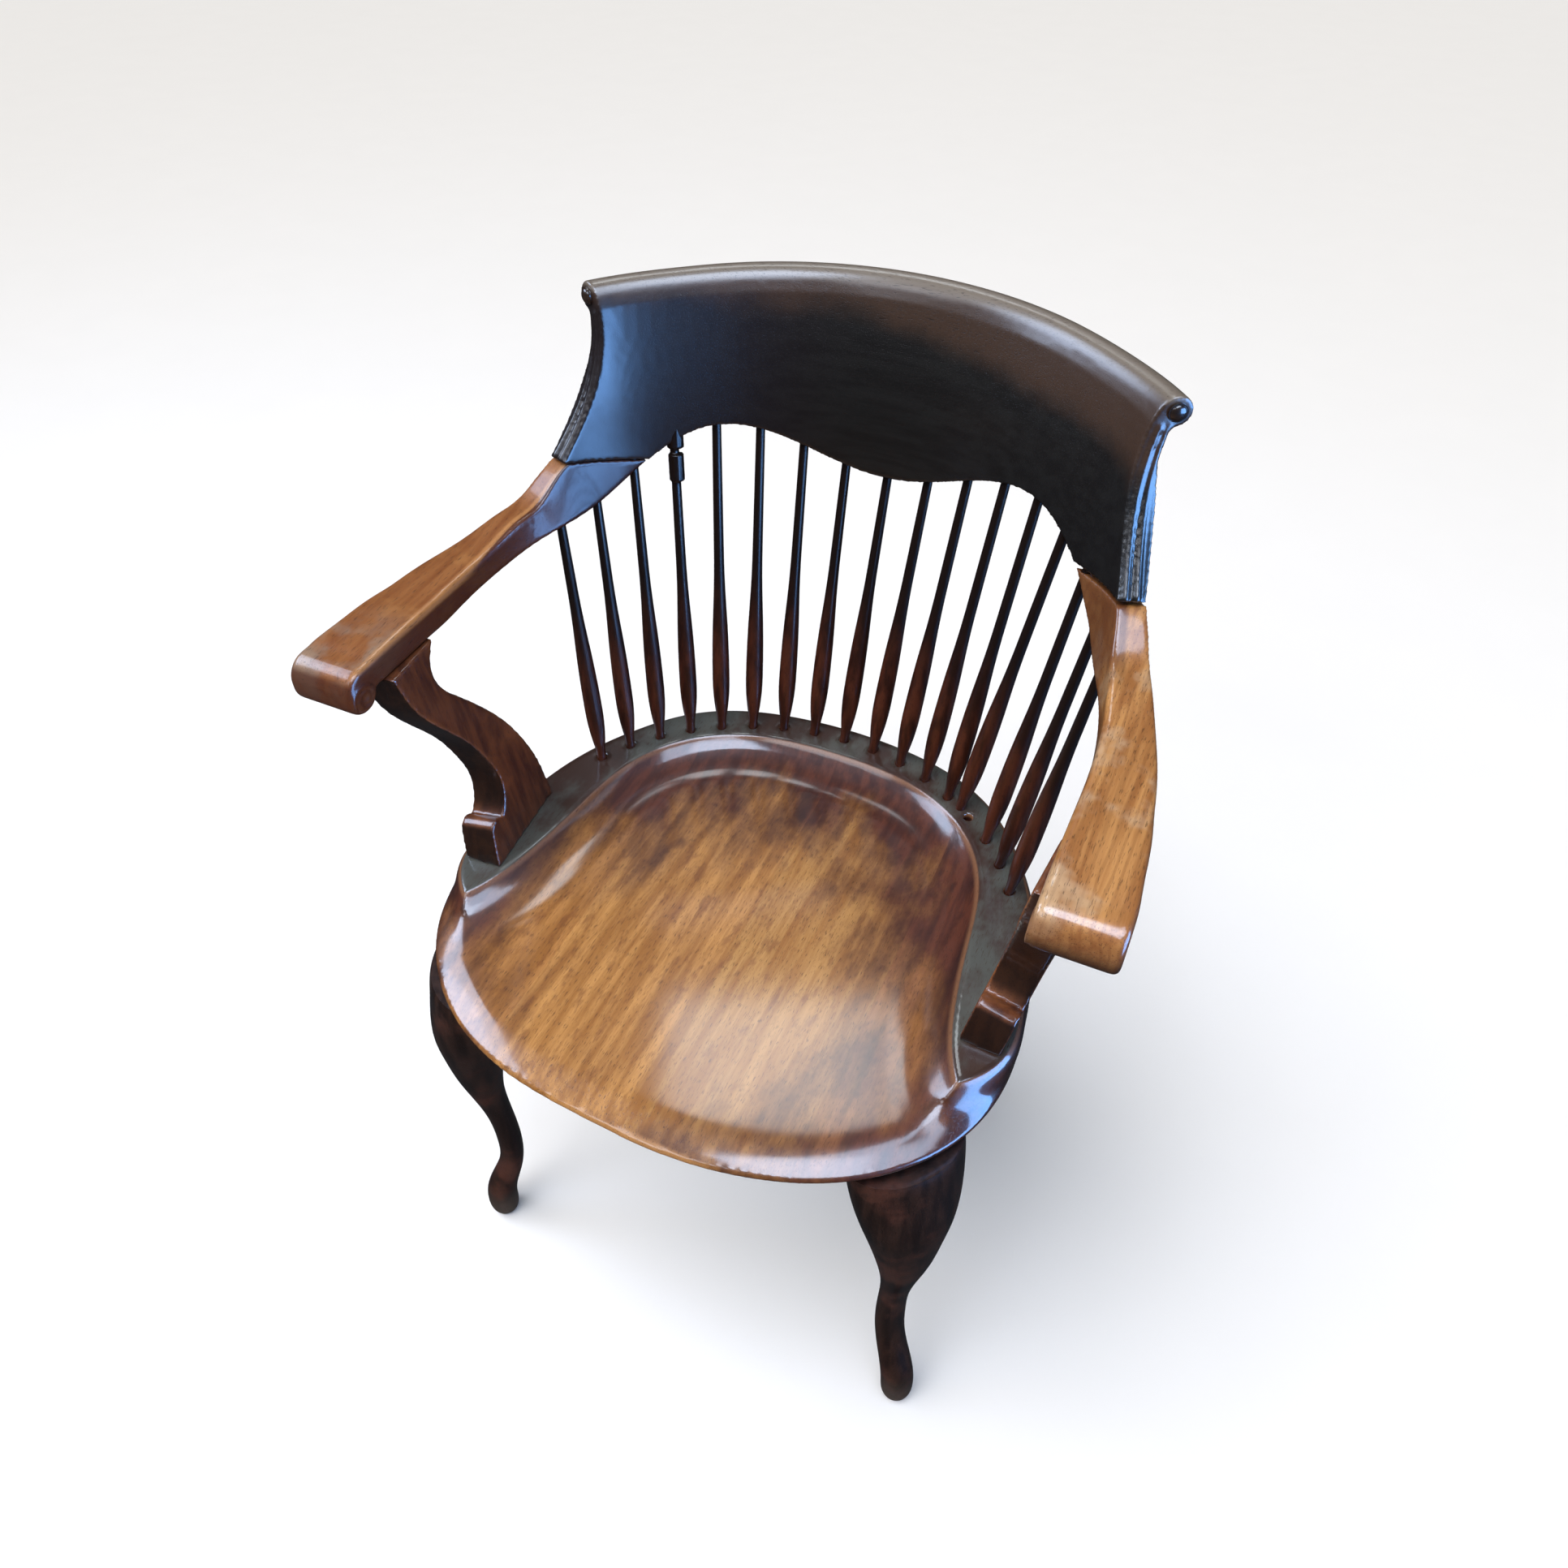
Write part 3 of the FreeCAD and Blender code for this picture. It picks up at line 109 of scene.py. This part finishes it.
# The camera sees a white room, matt surfaces get its even light, and glossy ones reflect a dark shop
world = bpy.data.worlds.new("studio")
bpy.context.scene.world = world
world.use_nodes = True
sky = world.node_tree
sky.nodes.clear()
ray = add(sky, "LightPath")
seen = add(sky, "Background", {"Color": tone("#fbfbfc"), "Strength": 1.0})
fill = add(sky, "Background", {"Color": tone("#eef1f6"), "Strength": 0.42})
dark_room = add(sky, "Background", {"Color": tone("#4a4f55"), "Strength": 0.35})
lit = add(sky, "MixShader", {0: ray["Is Glossy Ray"], 1: fill[0], 2: dark_room[0]})
both = add(sky, "MixShader", {0: ray["Is Camera Ray"], 1: lit[0], 2: seen[0]})
add(sky, "OutputWorld", {"Surface": both[0]})

even_data = bpy.data.lights.new("even_light", "SUN")
even_data.energy = 1.9
even_data.angle = math.radians(55)
even_data.color = tone("#fff8ee")[:3]
even_light = bpy.data.objects.new("even_light", even_data)
even_light.rotation_euler = (math.radians(16), math.radians(-22), 0)
even_light.visible_glossy = False
bpy.context.scene.collection.objects.link(even_light)

SEAT_MIDDLE = (0.0, -0.05, 0.45)
BACK_MIDDLE = (0.0, 0.0, 0.8)


def soft_box(name, place, aim, size, watts, colour, lights=True):
    """A soft box of a width and a height, turned to the point it aims at; it may be for gloss only."""
    data = bpy.data.lights.new(name, "AREA")
    data.shape = "RECTANGLE"
    data.size, data.size_y = size
    data.energy = watts
    data.color = tone(colour)[:3]
    lamp = bpy.data.objects.new(name, data)
    lamp.location = place
    lamp.rotation_euler = (Vector(aim) - Vector(place)).to_track_quat("-Z", "Y").to_euler()
    lamp.visible_camera = False
    lamp.visible_diffuse = lights
    bpy.context.scene.collection.objects.link(lamp)


soft_box("overhead_box", (0.30, -0.62, 2.6), SEAT_MIDDLE, (1.0, 0.8), 16.0, "#dfeaff")
soft_box("front_box", (-0.65, -1.55, 2.5), SEAT_MIDDLE, (1.1, 0.7), 12.0, "#eef3ff")
soft_box("left_window", (-2.0, -0.40, 2.15), SEAT_MIDDLE, (0.9, 0.9), 12.0, "#c9dcff")
soft_box("right_window", (2.3, -0.25, 0.95), BACK_MIDDLE, (2.0, 1.6), 230.0, "#74acf5", lights=False)
soft_box("roof_gloss", (0.50, -0.45, 2.4), SEAT_MIDDLE, (1.4, 1.0), 48.0, "#cfe2ff", lights=False)
soft_box("side_gloss", (-1.70, -0.30, 2.05), SEAT_MIDDLE, (1.3, 1.0), 42.0, "#cfe2ff", lights=False)
soft_box("rear_left_window", (-0.87, 1.68, 2.4), SEAT_MIDDLE, (1.0, 0.5), 1.0, "#dfe9f5", lights=False)
soft_box("rear_right_window", (-0.43, 0.93, 2.4), SEAT_MIDDLE, (0.62, 0.36), 6.5, "#e6edf2", lights=False)

# Seat: four boards of stained elm, glued edge to edge, dished by hand and rolled over at the front. The
# stain is worn to golden brown where people sit, and stays dark red at the rear and under the elbows.
SEAT_TOP = 0.455
SEAT_UNDER = 0.413
SEAT_FRONT = -0.2723
FLOOR_LINE = (0.431, 0.446)  # heights between which the dish's floor meets its slope and the front roll
WORN_MIDDLE = (-0.015, -0.13, 0.0)
BOW_MIDDLE_Y = -0.0051
SEAT_VOXEL = 0.0019
SEAT_ROUNDS = 2
FLOOR_ROUNDS = 90
BEYOND = 0.400
GLUE_LINES = (-BEYOND, -0.122, 0.004, 0.130, BEYOND)
SEAT_BOARDS = (
    ("seat_board_left", (0.31, 0.12, 0.0), "#b98248"),
    ("seat_board_mid_left", (1.27, 0.55, 0.1), "#c08b4e"),
    ("seat_board_mid_right", (2.63, 0.91, 0.2), "#b5864c"),
    ("seat_board_right", (3.41, 0.37, 0.3), "#ad7847"),
)


def cad(*names):
    """The CAD pieces of these names."""
    return [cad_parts[name] for name in names]


def soften(piece, rounds, group=""):
    """Smooths the active piece's vertices some rounds over, or only those of a vertex group."""
    smooth = piece.modifiers.new("soften", "SMOOTH")
    smooth.factor = 0.5
    smooth.iterations = rounds
    smooth.vertex_group = group
    bpy.ops.object.modifier_apply(modifier=smooth.name)


def worn_copy(name, names, voxel, rounds, carved=()):
    """A closed copy of CAD pieces and what is carved on them, with edges rounded over as use rounds them."""
    bpy.ops.object.select_all(action="DESELECT")
    for node in cad(*names):
        piece = bpy.data.objects.new(name, node.data.copy())
        bpy.context.scene.collection.objects.link(piece)
        piece.select_set(True)
    for extra in carved:
        extra.select_set(True)
    bpy.context.view_layer.objects.active = piece
    bpy.ops.object.join()
    bpy.ops.object.mode_set(mode="EDIT")
    bpy.ops.mesh.select_all(action="SELECT")
    bpy.ops.mesh.remove_doubles(threshold=0.00001)
    bpy.ops.object.mode_set(mode="OBJECT")
    remesh = piece.modifiers.new("remesh", "REMESH")
    remesh.mode = "VOXEL"
    remesh.voxel_size = voxel
    bpy.ops.object.modifier_apply(modifier=remesh.name)
    soften(piece, rounds)
    bpy.ops.object.shade_smooth()
    return piece


def dress(pieces, material):
    """Gives pieces one material in place of those that they have."""
    for piece in pieces:
        piece.data.materials.clear()
        piece.data.materials.append(material)
        for face in piece.data.polygons:
            face.material_index = 0


def stands_for(piece, name):
    """A finished piece takes the place of a CAD piece and rides on the chair."""
    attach(piece, "root")
    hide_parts(name)


def stretched(tree, place, along, ratio, board=(0.0, 0.0, 0.0)):
    """Coordinates that make a texture longer along an axis, by a ratio, and move it from board to board."""
    scale = [ratio] * 3
    scale["XYZ".index(along)] = 1.0
    return add(tree, "Mapping", {"Vector": place, "Location": board, "Scale": scale})[0]


def wood_grain(tree, place, along, board):
    """Growth streaks and open pores of elm, whose grain runs along an axis.

    Streaks are some 9 mm wide and 120 mm long. Pores are 0.7 mm by 6 mm, coarser than the real 0.3 mm so
    that they show."""
    wide = stretched(tree, place, along, 14.0, board)
    streak = add(tree, "TexNoise", {"Vector": wide, "Scale": 8.0, "Detail": 4.0, "Roughness": 0.55})[0]
    fine = stretched(tree, place, along, 9.0, board)
    pore = add(tree, "TexNoise", {"Vector": fine, "Scale": 150.0, "Detail": 2.0, "Roughness": 0.5})[0]
    return streak, pore


def tint(tree, colour, code, strength, *spans):
    """Lays a tone over a colour where each value has passed from its span's first limit to its second."""
    share = strength
    for value, outside, inside in spans:
        step = add(tree, "MapRange", {0: value, 1: outside, 2: inside}, interpolation_type="SMOOTHSTEP")[0]
        share = add(tree, "Math", {0: step, 1: share}, operation="MULTIPLY")[0]
    return add(tree, "Mix", {0: share, 6: colour, 7: tone(code)}, data_type="RGBA")[2]


def from_bow(tree, place):
    """Distance from the chair's middle line: sideways along the arms, and round the bow behind its middle."""
    onto_plan = {0: place, 1: (1, 1, 0), 2: (0, -BOW_MIDDLE_Y, 0)}
    moved = add(tree, "VectorMath", onto_plan, operation="MULTIPLY_ADD")
    behind = add(tree, "VectorMath", {0: moved[0], 1: (-1, 0, 0)}, operation="MAXIMUM")
    return add(tree, "VectorMath", {0: behind[0]}, operation="LENGTH")["Value"]


def varnish(tree, colour, pore, rough, coat, coat_rough):
    """Old shellac over stain: a thin clear coat that has sunk into the pores."""
    height = add(tree, "MapRange", {0: pore, 1: 0.7, 2: 0.55}, interpolation_type="SMOOTHSTEP")[0]
    bump = add(tree, "Bump", {"Strength": 0.3, "Distance": 0.0003, "Height": height})[0]
    film = {"Base Color": colour, "Roughness": rough, "Normal": bump, "Specular IOR Level": 0.2,
            "Coat Weight": coat, "Coat Roughness": coat_rough}
    add(tree, "OutputMaterial", {"Surface": add(tree, "BsdfPrincipled", film)[0]})


def seat_finish(name, board, warm):
    """Shellac over red stain on one board, sat bare to the gold of the elm, and on the rim a dusty grey that
    is partly a painted sheen.
    """
    material = new_material(name)
    tree = material.node_tree
    place = add(tree, "TexCoord")["Object"]
    y, z = add(tree, "SeparateXYZ", {0: place})[1:3]
    streak, pore = wood_grain(tree, place, "Y", board)
    wide = stretched(tree, place, "Y", 14.0, board)
    fibre = add(tree, "TexNoise", {"Vector": wide, "Scale": 46.0, "Detail": 4.0, "Roughness": 0.65})[0]
    broad = stretched(tree, place, "Y", 1.6)
    patch = add(tree, "TexNoise", {"Vector": broad, "Scale": 9.0, "Detail": 5.0, "Roughness": 0.62})[0]
    small = stretched(tree, place, "Y", 2.5, board)
    mottle = add(tree, "TexNoise", {"Vector": small, "Scale": 38.0, "Detail": 4.0, "Roughness": 0.6})[0]

    gold = tint(tree, tone("#94622f"), warm, 1.0, (streak, 0.35, 0.68))
    gold = tint(tree, gold, "#7d4c26", 0.35, (fibre, 0.45, 0.72))
    gold = tint(tree, gold, "#6e3f22", 0.5, (mottle, 0.52, 0.68))
    red = tint(tree, tone("#40211a"), "#5a3022", 1.0, (streak, 0.35, 0.65))
    red = tint(tree, red, "#2c1713", 0.5, (mottle, 0.50, 0.66))

    # The gold ends some 10 to 23 cm from the middle of the worn place, and patches pull that edge in and out
    flat = add(tree, "VectorMath", {0: place, 1: (1, 1, 0)}, operation="MULTIPLY")[0]
    reach = add(tree, "VectorMath", {0: flat, 1: WORN_MIDDLE}, operation="DISTANCE")["Value"]
    pull = 0.30
    edge = add(tree, "Math", {0: patch, 1: pull, 2: reach}, operation="MULTIPLY_ADD")[0]
    ends = {0: edge, 1: 0.23 + pull / 2, 2: 0.10 + pull / 2}
    worn = add(tree, "MapRange", ends, interpolation_type="SMOOTHSTEP")[0]
    colour = add(tree, "Mix", {0: worn, 6: red, 7: gold}, data_type="RGBA")[2]

    colour = tint(tree, colour, "#2c1813", 0.75, (from_bow(tree, place), 0.165, 0.195), (y, -0.16, -0.06))
    # The flat top of the rim is laid over with grey, partly dust and partly a painted sheen.
    dust_and_sheen = add(tree, "MapRange", {0: z, 1: SEAT_TOP - 0.0015, 2: SEAT_TOP - 0.0003},
               interpolation_type="SMOOTHSTEP")[0]
    dust_and_sheen = add(tree, "Math", {0: dust_and_sheen, 1: 0.9}, operation="MULTIPLY")[0]
    dusty_sheen = tint(tree, tone("#3a2a24"), "#50534e", 1.0, (patch, 0.42, 0.60))
    colour = add(tree, "Mix", {0: dust_and_sheen, 6: colour, 7: dusty_sheen}, data_type="RGBA")[2]
    colour = tint(tree, colour, "#94694a", 0.6, (z, SEAT_TOP - 0.0050, SEAT_TOP - 0.0020),
                  (z, SEAT_TOP - 0.0004, SEAT_TOP - 0.0014))
    colour = tint(tree, colour, "#b07f4c", 0.8, (y, SEAT_FRONT + 0.0068, SEAT_FRONT + 0.0028),
                  (z, SEAT_UNDER + 0.0050, SEAT_UNDER + 0.0080))
    # Painted shade: the lowest 5 mm of the seat's edge, where it turns under, is darkened nearly to black.
    colour = tint(tree, colour, "#150d0a", 1.0, (z, SEAT_UNDER + 0.0055, SEAT_UNDER + 0.0025))
    colour = tint(tree, colour, "#3a2114", 0.6, (pore, 0.58, 0.68))
    rough = add(tree, "MapRange", {0: patch, 1: 0.3, 2: 0.7, 3: 0.30, 4: 0.42},
                interpolation_type="SMOOTHSTEP")[0]
    varnish(tree, colour, pore, rough, coat=0.9, coat_rough=0.12)
    return material


seat = worn_copy("seat", [name for name, board, warm in SEAT_BOARDS], SEAT_VOXEL, SEAT_ROUNDS)
floor_line = seat.vertex_groups.new(name="floor_line")
low, high = FLOOR_LINE
crease = [v.index for v in seat.data.vertices if low < v.co.z < high and v.normal.z > 0.5]
floor_line.add(crease, 1.0, "REPLACE")
soften(seat, FLOOR_ROUNDS, "floor_line")
for (name, board, warm), left_glue, right_glue in zip(SEAT_BOARDS, GLUE_LINES, GLUE_LINES[1:]):
    piece = bpy.data.objects.new(name + "_wood", seat.data.copy())
    bpy.context.scene.collection.objects.link(piece)
    bpy.ops.object.select_all(action="DESELECT")
    piece.select_set(True)
    bpy.context.view_layer.objects.active = piece
    bpy.ops.object.mode_set(mode="EDIT")
    for glue, outward in ((left_glue, -1.0), (right_glue, 1.0)):
        bpy.ops.mesh.select_all(action="SELECT")
        bpy.ops.mesh.bisect(plane_co=(glue, 0, 0), plane_no=(outward, 0, 0), use_fill=True,
                            clear_outer=True)
    bpy.ops.object.mode_set(mode="OBJECT")
    bpy.ops.object.shade_smooth_by_angle(angle=math.radians(50))
    dress([piece], seat_finish(name + "_elm", board, warm))
    stands_for(piece, name)
bpy.data.objects.remove(seat)

# Crest rail: a deep board bent to the bow and rolled over at the top, stained nearly black, with a brown band
# of painted light under the roll and a grey painted highlight along it. Two beads run down each end, and a
# turned button closes each end of the roll.
SEAM_HEIGHT = 0.728
ROLL_CLIMB = 0.112  # from the seam's height up to the roll's axis
BOW_END = 67.7  # degrees round the bow at which the crest ends, where it is widest
CREST_FACE = 0.240
CREST_SWEEP = 0.024
BEAD_DEPTHS = (0.0045, 0.0125)
BEAD_CLIMB = 0.100
BEAD_RADIUS = 0.0026
BEAD_STEPS = 16
CREST_VOXEL = 0.0013
CREST_ROUNDS = 5


def stained(name, along, board, dark, light, worn=None, coat=0.7, coat_rough=0.12, zones=None):
    """Stained and shellacked wood with its grain along an axis; zones tint the parts that wear differently and
    paint some light and shade on them.
    """
    material = new_material(name)
    tree = material.node_tree
    place = add(tree, "TexCoord")["Object"]
    streak, pore = wood_grain(tree, place, along, board)
    blotch = add(tree, "TexNoise", {"Vector": place, "Scale": 16.0, "Detail": 4.0, "Roughness": 0.6})[0]
    colour = tint(tree, tone(dark), light, 1.0, (streak, 0.35, 0.65))
    if worn:
        colour = tint(tree, colour, worn, 0.7, (blotch, 0.50, 0.66))
    if zones:
        colour = zones(tree, colour, place, blotch)
    colour = tint(tree, colour, "#1a0f0a", 0.5, (pore, 0.58, 0.68))
    varnish(tree, colour, pore, 0.34, coat, coat_rough)
    return material


def crest_zones(tree, colour, place, blotch):
    """Plum towards the left end, a brown band of painted light under the roll with a ragged lower edge, and a
    grey painted highlight on the roll.
    """
    x, y, z = add(tree, "SeparateXYZ", {0: place})
    ragged = 0.035
    edge = add(tree, "Math", {0: blotch, 1: ragged, 2: z}, operation="MULTIPLY_ADD")[0]
    edge = add(tree, "Math", {0: x, 1: 0.10, 2: edge}, operation="MULTIPLY_ADD")[0]
    colour = tint(tree, colour, "#241719", 0.5, (x, -0.02, -0.14))
    # Painted light: a brown band under the roll, where the face tilts up to the light above.
    colour = tint(tree, colour, "#4b3629", 0.65, (edge, 0.805 + ragged / 2, 0.830 + ragged / 2))
    # Painted highlight: grey along the top of the roll.
    return tint(tree, colour, "#857c70", 0.6, (z, 0.840, 0.847))


def bead_line(points, radius):
    """A round bead along points, as a mesh that is then remeshed into the piece it is carved on."""
    data = bpy.data.curves.new("bead", "CURVE")
    data.dimensions = "3D"
    data.bevel_depth = radius
    data.bevel_resolution = 3
    data.use_fill_caps = True
    line = data.splines.new("POLY")
    line.points.add(len(points) - 1)
    for place, point in zip(line.points, points):
        place.co = (*point, 1.0)
    bead = bpy.data.objects.new("bead", data)
    bpy.context.scene.collection.objects.link(bead)
    bpy.ops.object.select_all(action="DESELECT")
    bead.select_set(True)
    bpy.context.view_layer.objects.active = bead
    bpy.ops.object.convert(target="MESH")
    return bead


def end_beads(side):
    """The two beads that run down a crest's end, on either side of a flute, and draw together at the roll."""
    beads = []
    for depth in BEAD_DEPTHS:
        points = []
        for step in range(BEAD_STEPS + 1):
            share = step / BEAD_STEPS
            climb = BEAD_CLIMB * share / ROLL_CLIMB
            turn = math.radians(BOW_END * (0.81 + 0.19 * (1 - climb) ** 2.2))
            face = CREST_FACE + CREST_SWEEP * (0.40 * climb + 0.60 * climb ** 2)
            reach = face + depth * (1 - 0.25 * share)
            height = SEAM_HEIGHT + BEAD_CLIMB * share
            points.append((side * reach * math.sin(turn), BOW_MIDDLE_Y + reach * math.cos(turn), height))
        beads.append(bead_line(points, BEAD_RADIUS))
    return beads


crest = worn_copy("crest", ["crest_rail"], CREST_VOXEL, CREST_ROUNDS, end_beads(-1) + end_beads(1))
dress([crest], stained("dark_stained_crest", "X", (0.5, 0.2, 0.0), "#171514", "#1d1c1b",
                       coat=0.8, coat_rough=0.24, zones=crest_zones))
stands_for(crest, "crest_rail")
dress(cad("crest_button_left", "crest_button_right"),
      stained("dark_button", "X", (0.1, 0.2, 0.0), "#17110e", "#2b1e18", worn="#4a382d", coat=0.9))

# Arms: sawn and carved from thick elm to carry the bow on to the front. Each ends in a scroll with a volute
# on its inner side; hands have worn the left one to warm brown and the right one nearly bare.
ARM_TOP = 0.690
ARM_INNER = 0.241
SCROLL_EYE = (-0.1582, 0.6655)
VOLUTE_OUTER = 0.0118
VOLUTE_DRAW_IN = 0.0083
VOLUTE_START = 200
VOLUTE_TURN = 620
VOLUTE_STEPS = 72
VOLUTE_BEAD = 0.0017
ARM_VOXEL = 0.0013
ARM_ROUNDS = 9


def volute(side):
    """The carved spiral on a scroll's inner side: a round bead that winds in to a small eye."""
    points = []
    for step in range(VOLUTE_STEPS + 1):
        share = step / VOLUTE_STEPS
        radius = VOLUTE_OUTER - VOLUTE_DRAW_IN * share
        turn = math.radians(VOLUTE_START - VOLUTE_TURN * share)
        across = SCROLL_EYE[0] + radius * math.cos(turn)
        points.append((side * (ARM_INNER + 0.0002), across, SCROLL_EYE[1] + radius * math.sin(turn)))
    return bead_line(points, VOLUTE_BEAD)


def left_arm_zones(tree, colour, place, blotch):
    """A grey shine on the scroll, dark red sides, plum inside near the seam, and a pale worn inner edge."""
    x, y, z = add(tree, "SeparateXYZ", {0: place})
    bow = from_bow(tree, place)
    colour = tint(tree, colour, "#8d8274", 0.55, (y, -0.08, -0.14), (blotch, 0.40, 0.55))
    under = add(tree, "MapRange", {0: z, 1: ARM_TOP - 0.0045, 2: ARM_TOP - 0.010},
                interpolation_type="SMOOTHSTEP")[0]
    inner = add(tree, "MapRange", {0: bow, 1: ARM_INNER + 0.0030, 2: ARM_INNER + 0.0005},
                interpolation_type="SMOOTHSTEP")[0]
    side = add(tree, "Math", {0: under, 1: inner}, operation="MAXIMUM")[0]
    side = add(tree, "Math", {0: side, 1: 0.8}, operation="MULTIPLY")[0]
    colour = add(tree, "Mix", {0: side, 6: colour, 7: tone("#451f15")}, data_type="RGBA")[2]
    colour = tint(tree, colour, "#2c1718", 0.9, (y, 0.03, 0.10), (bow, ARM_INNER + 0.0070, ARM_INNER + 0.0030))
    return tint(tree, colour, "#c08a56", 0.6, (z, ARM_TOP - 0.0065, ARM_TOP - 0.0035),
                (bow, ARM_INNER + 0.0065, ARM_INNER + 0.0030), (bow, ARM_INNER - 0.0005, ARM_INNER + 0.0010))


def right_arm_zones(tree, colour, place, blotch):
    """Arched growth lines, greyish patches of painted sheen, brown sides, a dark underside and a brown face
    near the seam.
    """
    x, y, z = add(tree, "SeparateXYZ", {0: place})
    long = stretched(tree, place, "Y", 6.0)
    arch = add(tree, "TexWave", {"Vector": long, "Scale": 9.0, "Distortion": 7.0, "Detail": 2.0})["Fac"]
    colour = tint(tree, colour, "#7d4f29", 0.35, (arch, 0.55, 0.95))
    # Painted sheen: greyish patches that stand for the polish's gloss.
    colour = tint(tree, colour, "#b7a48c", 0.35, (blotch, 0.48, 0.60))
    colour = tint(tree, colour, "#6a3c20", 0.6, (z, ARM_TOP - 0.0045, ARM_TOP - 0.012))
    colour = tint(tree, colour, "#332015", 0.85, (z, ARM_TOP - 0.014, ARM_TOP - 0.030))
    return tint(tree, colour, "#5a321d", 0.8, (y, 0.02, 0.07),
                (from_bow(tree, place), ARM_INNER + 0.0080, ARM_INNER + 0.0040))


left_elm = stained("left_arm_elm", "Y", (0.1, 0.7, 0.3), "#7d4a26", "#8f5c33", worn="#a3703f",
                   coat=0.4, zones=left_arm_zones)
right_elm = stained("right_arm_elm", "Y", (0.9, 0.3, 0.6), "#966234", "#b9854e", worn="#c59a69",
                    zones=right_arm_zones)
for name, side, material in (("arm_left", -1, left_elm), ("arm_right", 1, right_elm)):
    arm = worn_copy(name + "_wood", [name], ARM_VOXEL, ARM_ROUNDS, [volute(side)])
    dress([arm], material)
    stands_for(arm, name)


# Arm supports: sawn from elm in an S that ends in a hooked foot, and screwed down through the seat. The
# grain runs up the S, the saw-cut edges are worn round, and the faces that look forwards are painted black as
# shade.
def support_painted_shade(tree, colour, place, blotch):
    """Painted shade: black on the faces that look forwards."""
    facing = add(tree, "SeparateXYZ", {0: add(tree, "TexCoord")["Normal"]})["Y"]
    return tint(tree, colour, "#15100e", 0.85, (facing, -0.55, -0.85))


for name in ("arm_support_left", "arm_support_right"):
    support = worn_copy(name + "_wood", [name], ARM_VOXEL, ARM_ROUNDS)
    dress([support], stained(name + "_elm", "Z", (0.2, 0.5, 0.1), "#4c2818", "#6e3f24", worn="#8a5430",
                             zones=support_painted_shade))
    stands_for(support, name)

# Spindles: turned from beech, each with a belly above the seat and a thin neck under the bow, and stained
# nearly black towards the top. One is lumpy under the crest, with a nick between two swellings.
LUMP_HEIGHTS = (0.690, 0.712, 0.717, 0.742)
LUMP_RADII = (0.0066, 0.0072)
LUMP_ASIDE = 0.001
TIP = 0.004  # how much of a spindle's end is taken to find the middle of that end
SPINDLE_VOXEL = 0.0009
SPINDLE_ROUNDS = 2


def spindle_zones(tree, colour, place, blotch):
    """Nearly black above the belly."""
    return tint(tree, colour, "#1a100c", 1.0, (add(tree, "SeparateXYZ", {0: place})["Z"], 0.50, 0.62))


def neck_lumps(name):
    """Two swellings on a spindle's axis, each between two heights and a little to the right of the axis."""
    points = [v.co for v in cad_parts[name].data.vertices]
    lowest = min(p.z for p in points)
    highest = max(p.z for p in points)
    foot = [p for p in points if p.z < lowest + TIP]
    head = [p for p in points if p.z > highest - TIP]
    foot = sum(foot, Vector()) / len(foot)
    head = sum(head, Vector()) / len(head)
    spots = []
    for height in LUMP_HEIGHTS:
        spot = foot.lerp(head, (height - foot.z) / (head.z - foot.z))
        spots.append((spot.x + LUMP_ASIDE, spot.y, height))
    return [bead_line(spots[:2], LUMP_RADII[0]), bead_line(spots[2:], LUMP_RADII[1])]


turned_beech = stained("turned_beech", "Z", (0.4, 0.4, 0.4), "#30160e", "#52291a", coat=0.3,
                       zones=spindle_zones)
dress(cad(*[f"spindle_{n:02d}" for n in range(1, 18)]), turned_beech)
lumpy = worn_copy("spindle_04_wood", ["spindle_04"], SPINDLE_VOXEL, SPINDLE_ROUNDS, neck_lumps("spindle_04"))
dress([lumpy], turned_beech)
stands_for(lumpy, "spindle_04")


# Legs: cabriole, sawn and carved from elm, and socketed in the seat with a round tenon. The stain is worn
# reddish in blotches, and shoes have scuffed the feet grey.
def leg_zones(tree, colour, place, blotch):
    """Scuffed grey on the last 6 cm above the floor."""
    return tint(tree, colour, "#6c6259", 0.5, (add(tree, "SeparateXYZ", {0: place})["Z"], 0.06, 0.01))


dress(cad("front_leg_left", "front_leg_right", "rear_leg_left", "rear_leg_right"),
      stained("leg_elm", "Z", (0.6, 0.1, 0.2), "#22140f", "#38241c", worn="#593429", zones=leg_zones))

# Dowels and screws: beech dowels hold the crest to the arms and the supports to the arms, and steel screws
# hold the supports to the seat, all out of sight inside the joints. The steel is dull and brown with age.
dress(cad("crest_dowels", "support_dowels"),
      stained("beech_dowel", "Z", (0.3, 0.3, 0.3), "#9a7448", "#c09a68"))
dress(cad("support_screws"), stained("steel_screw", "Z", (0.3, 0.3, 0.3), "#55524e", "#77736d"))
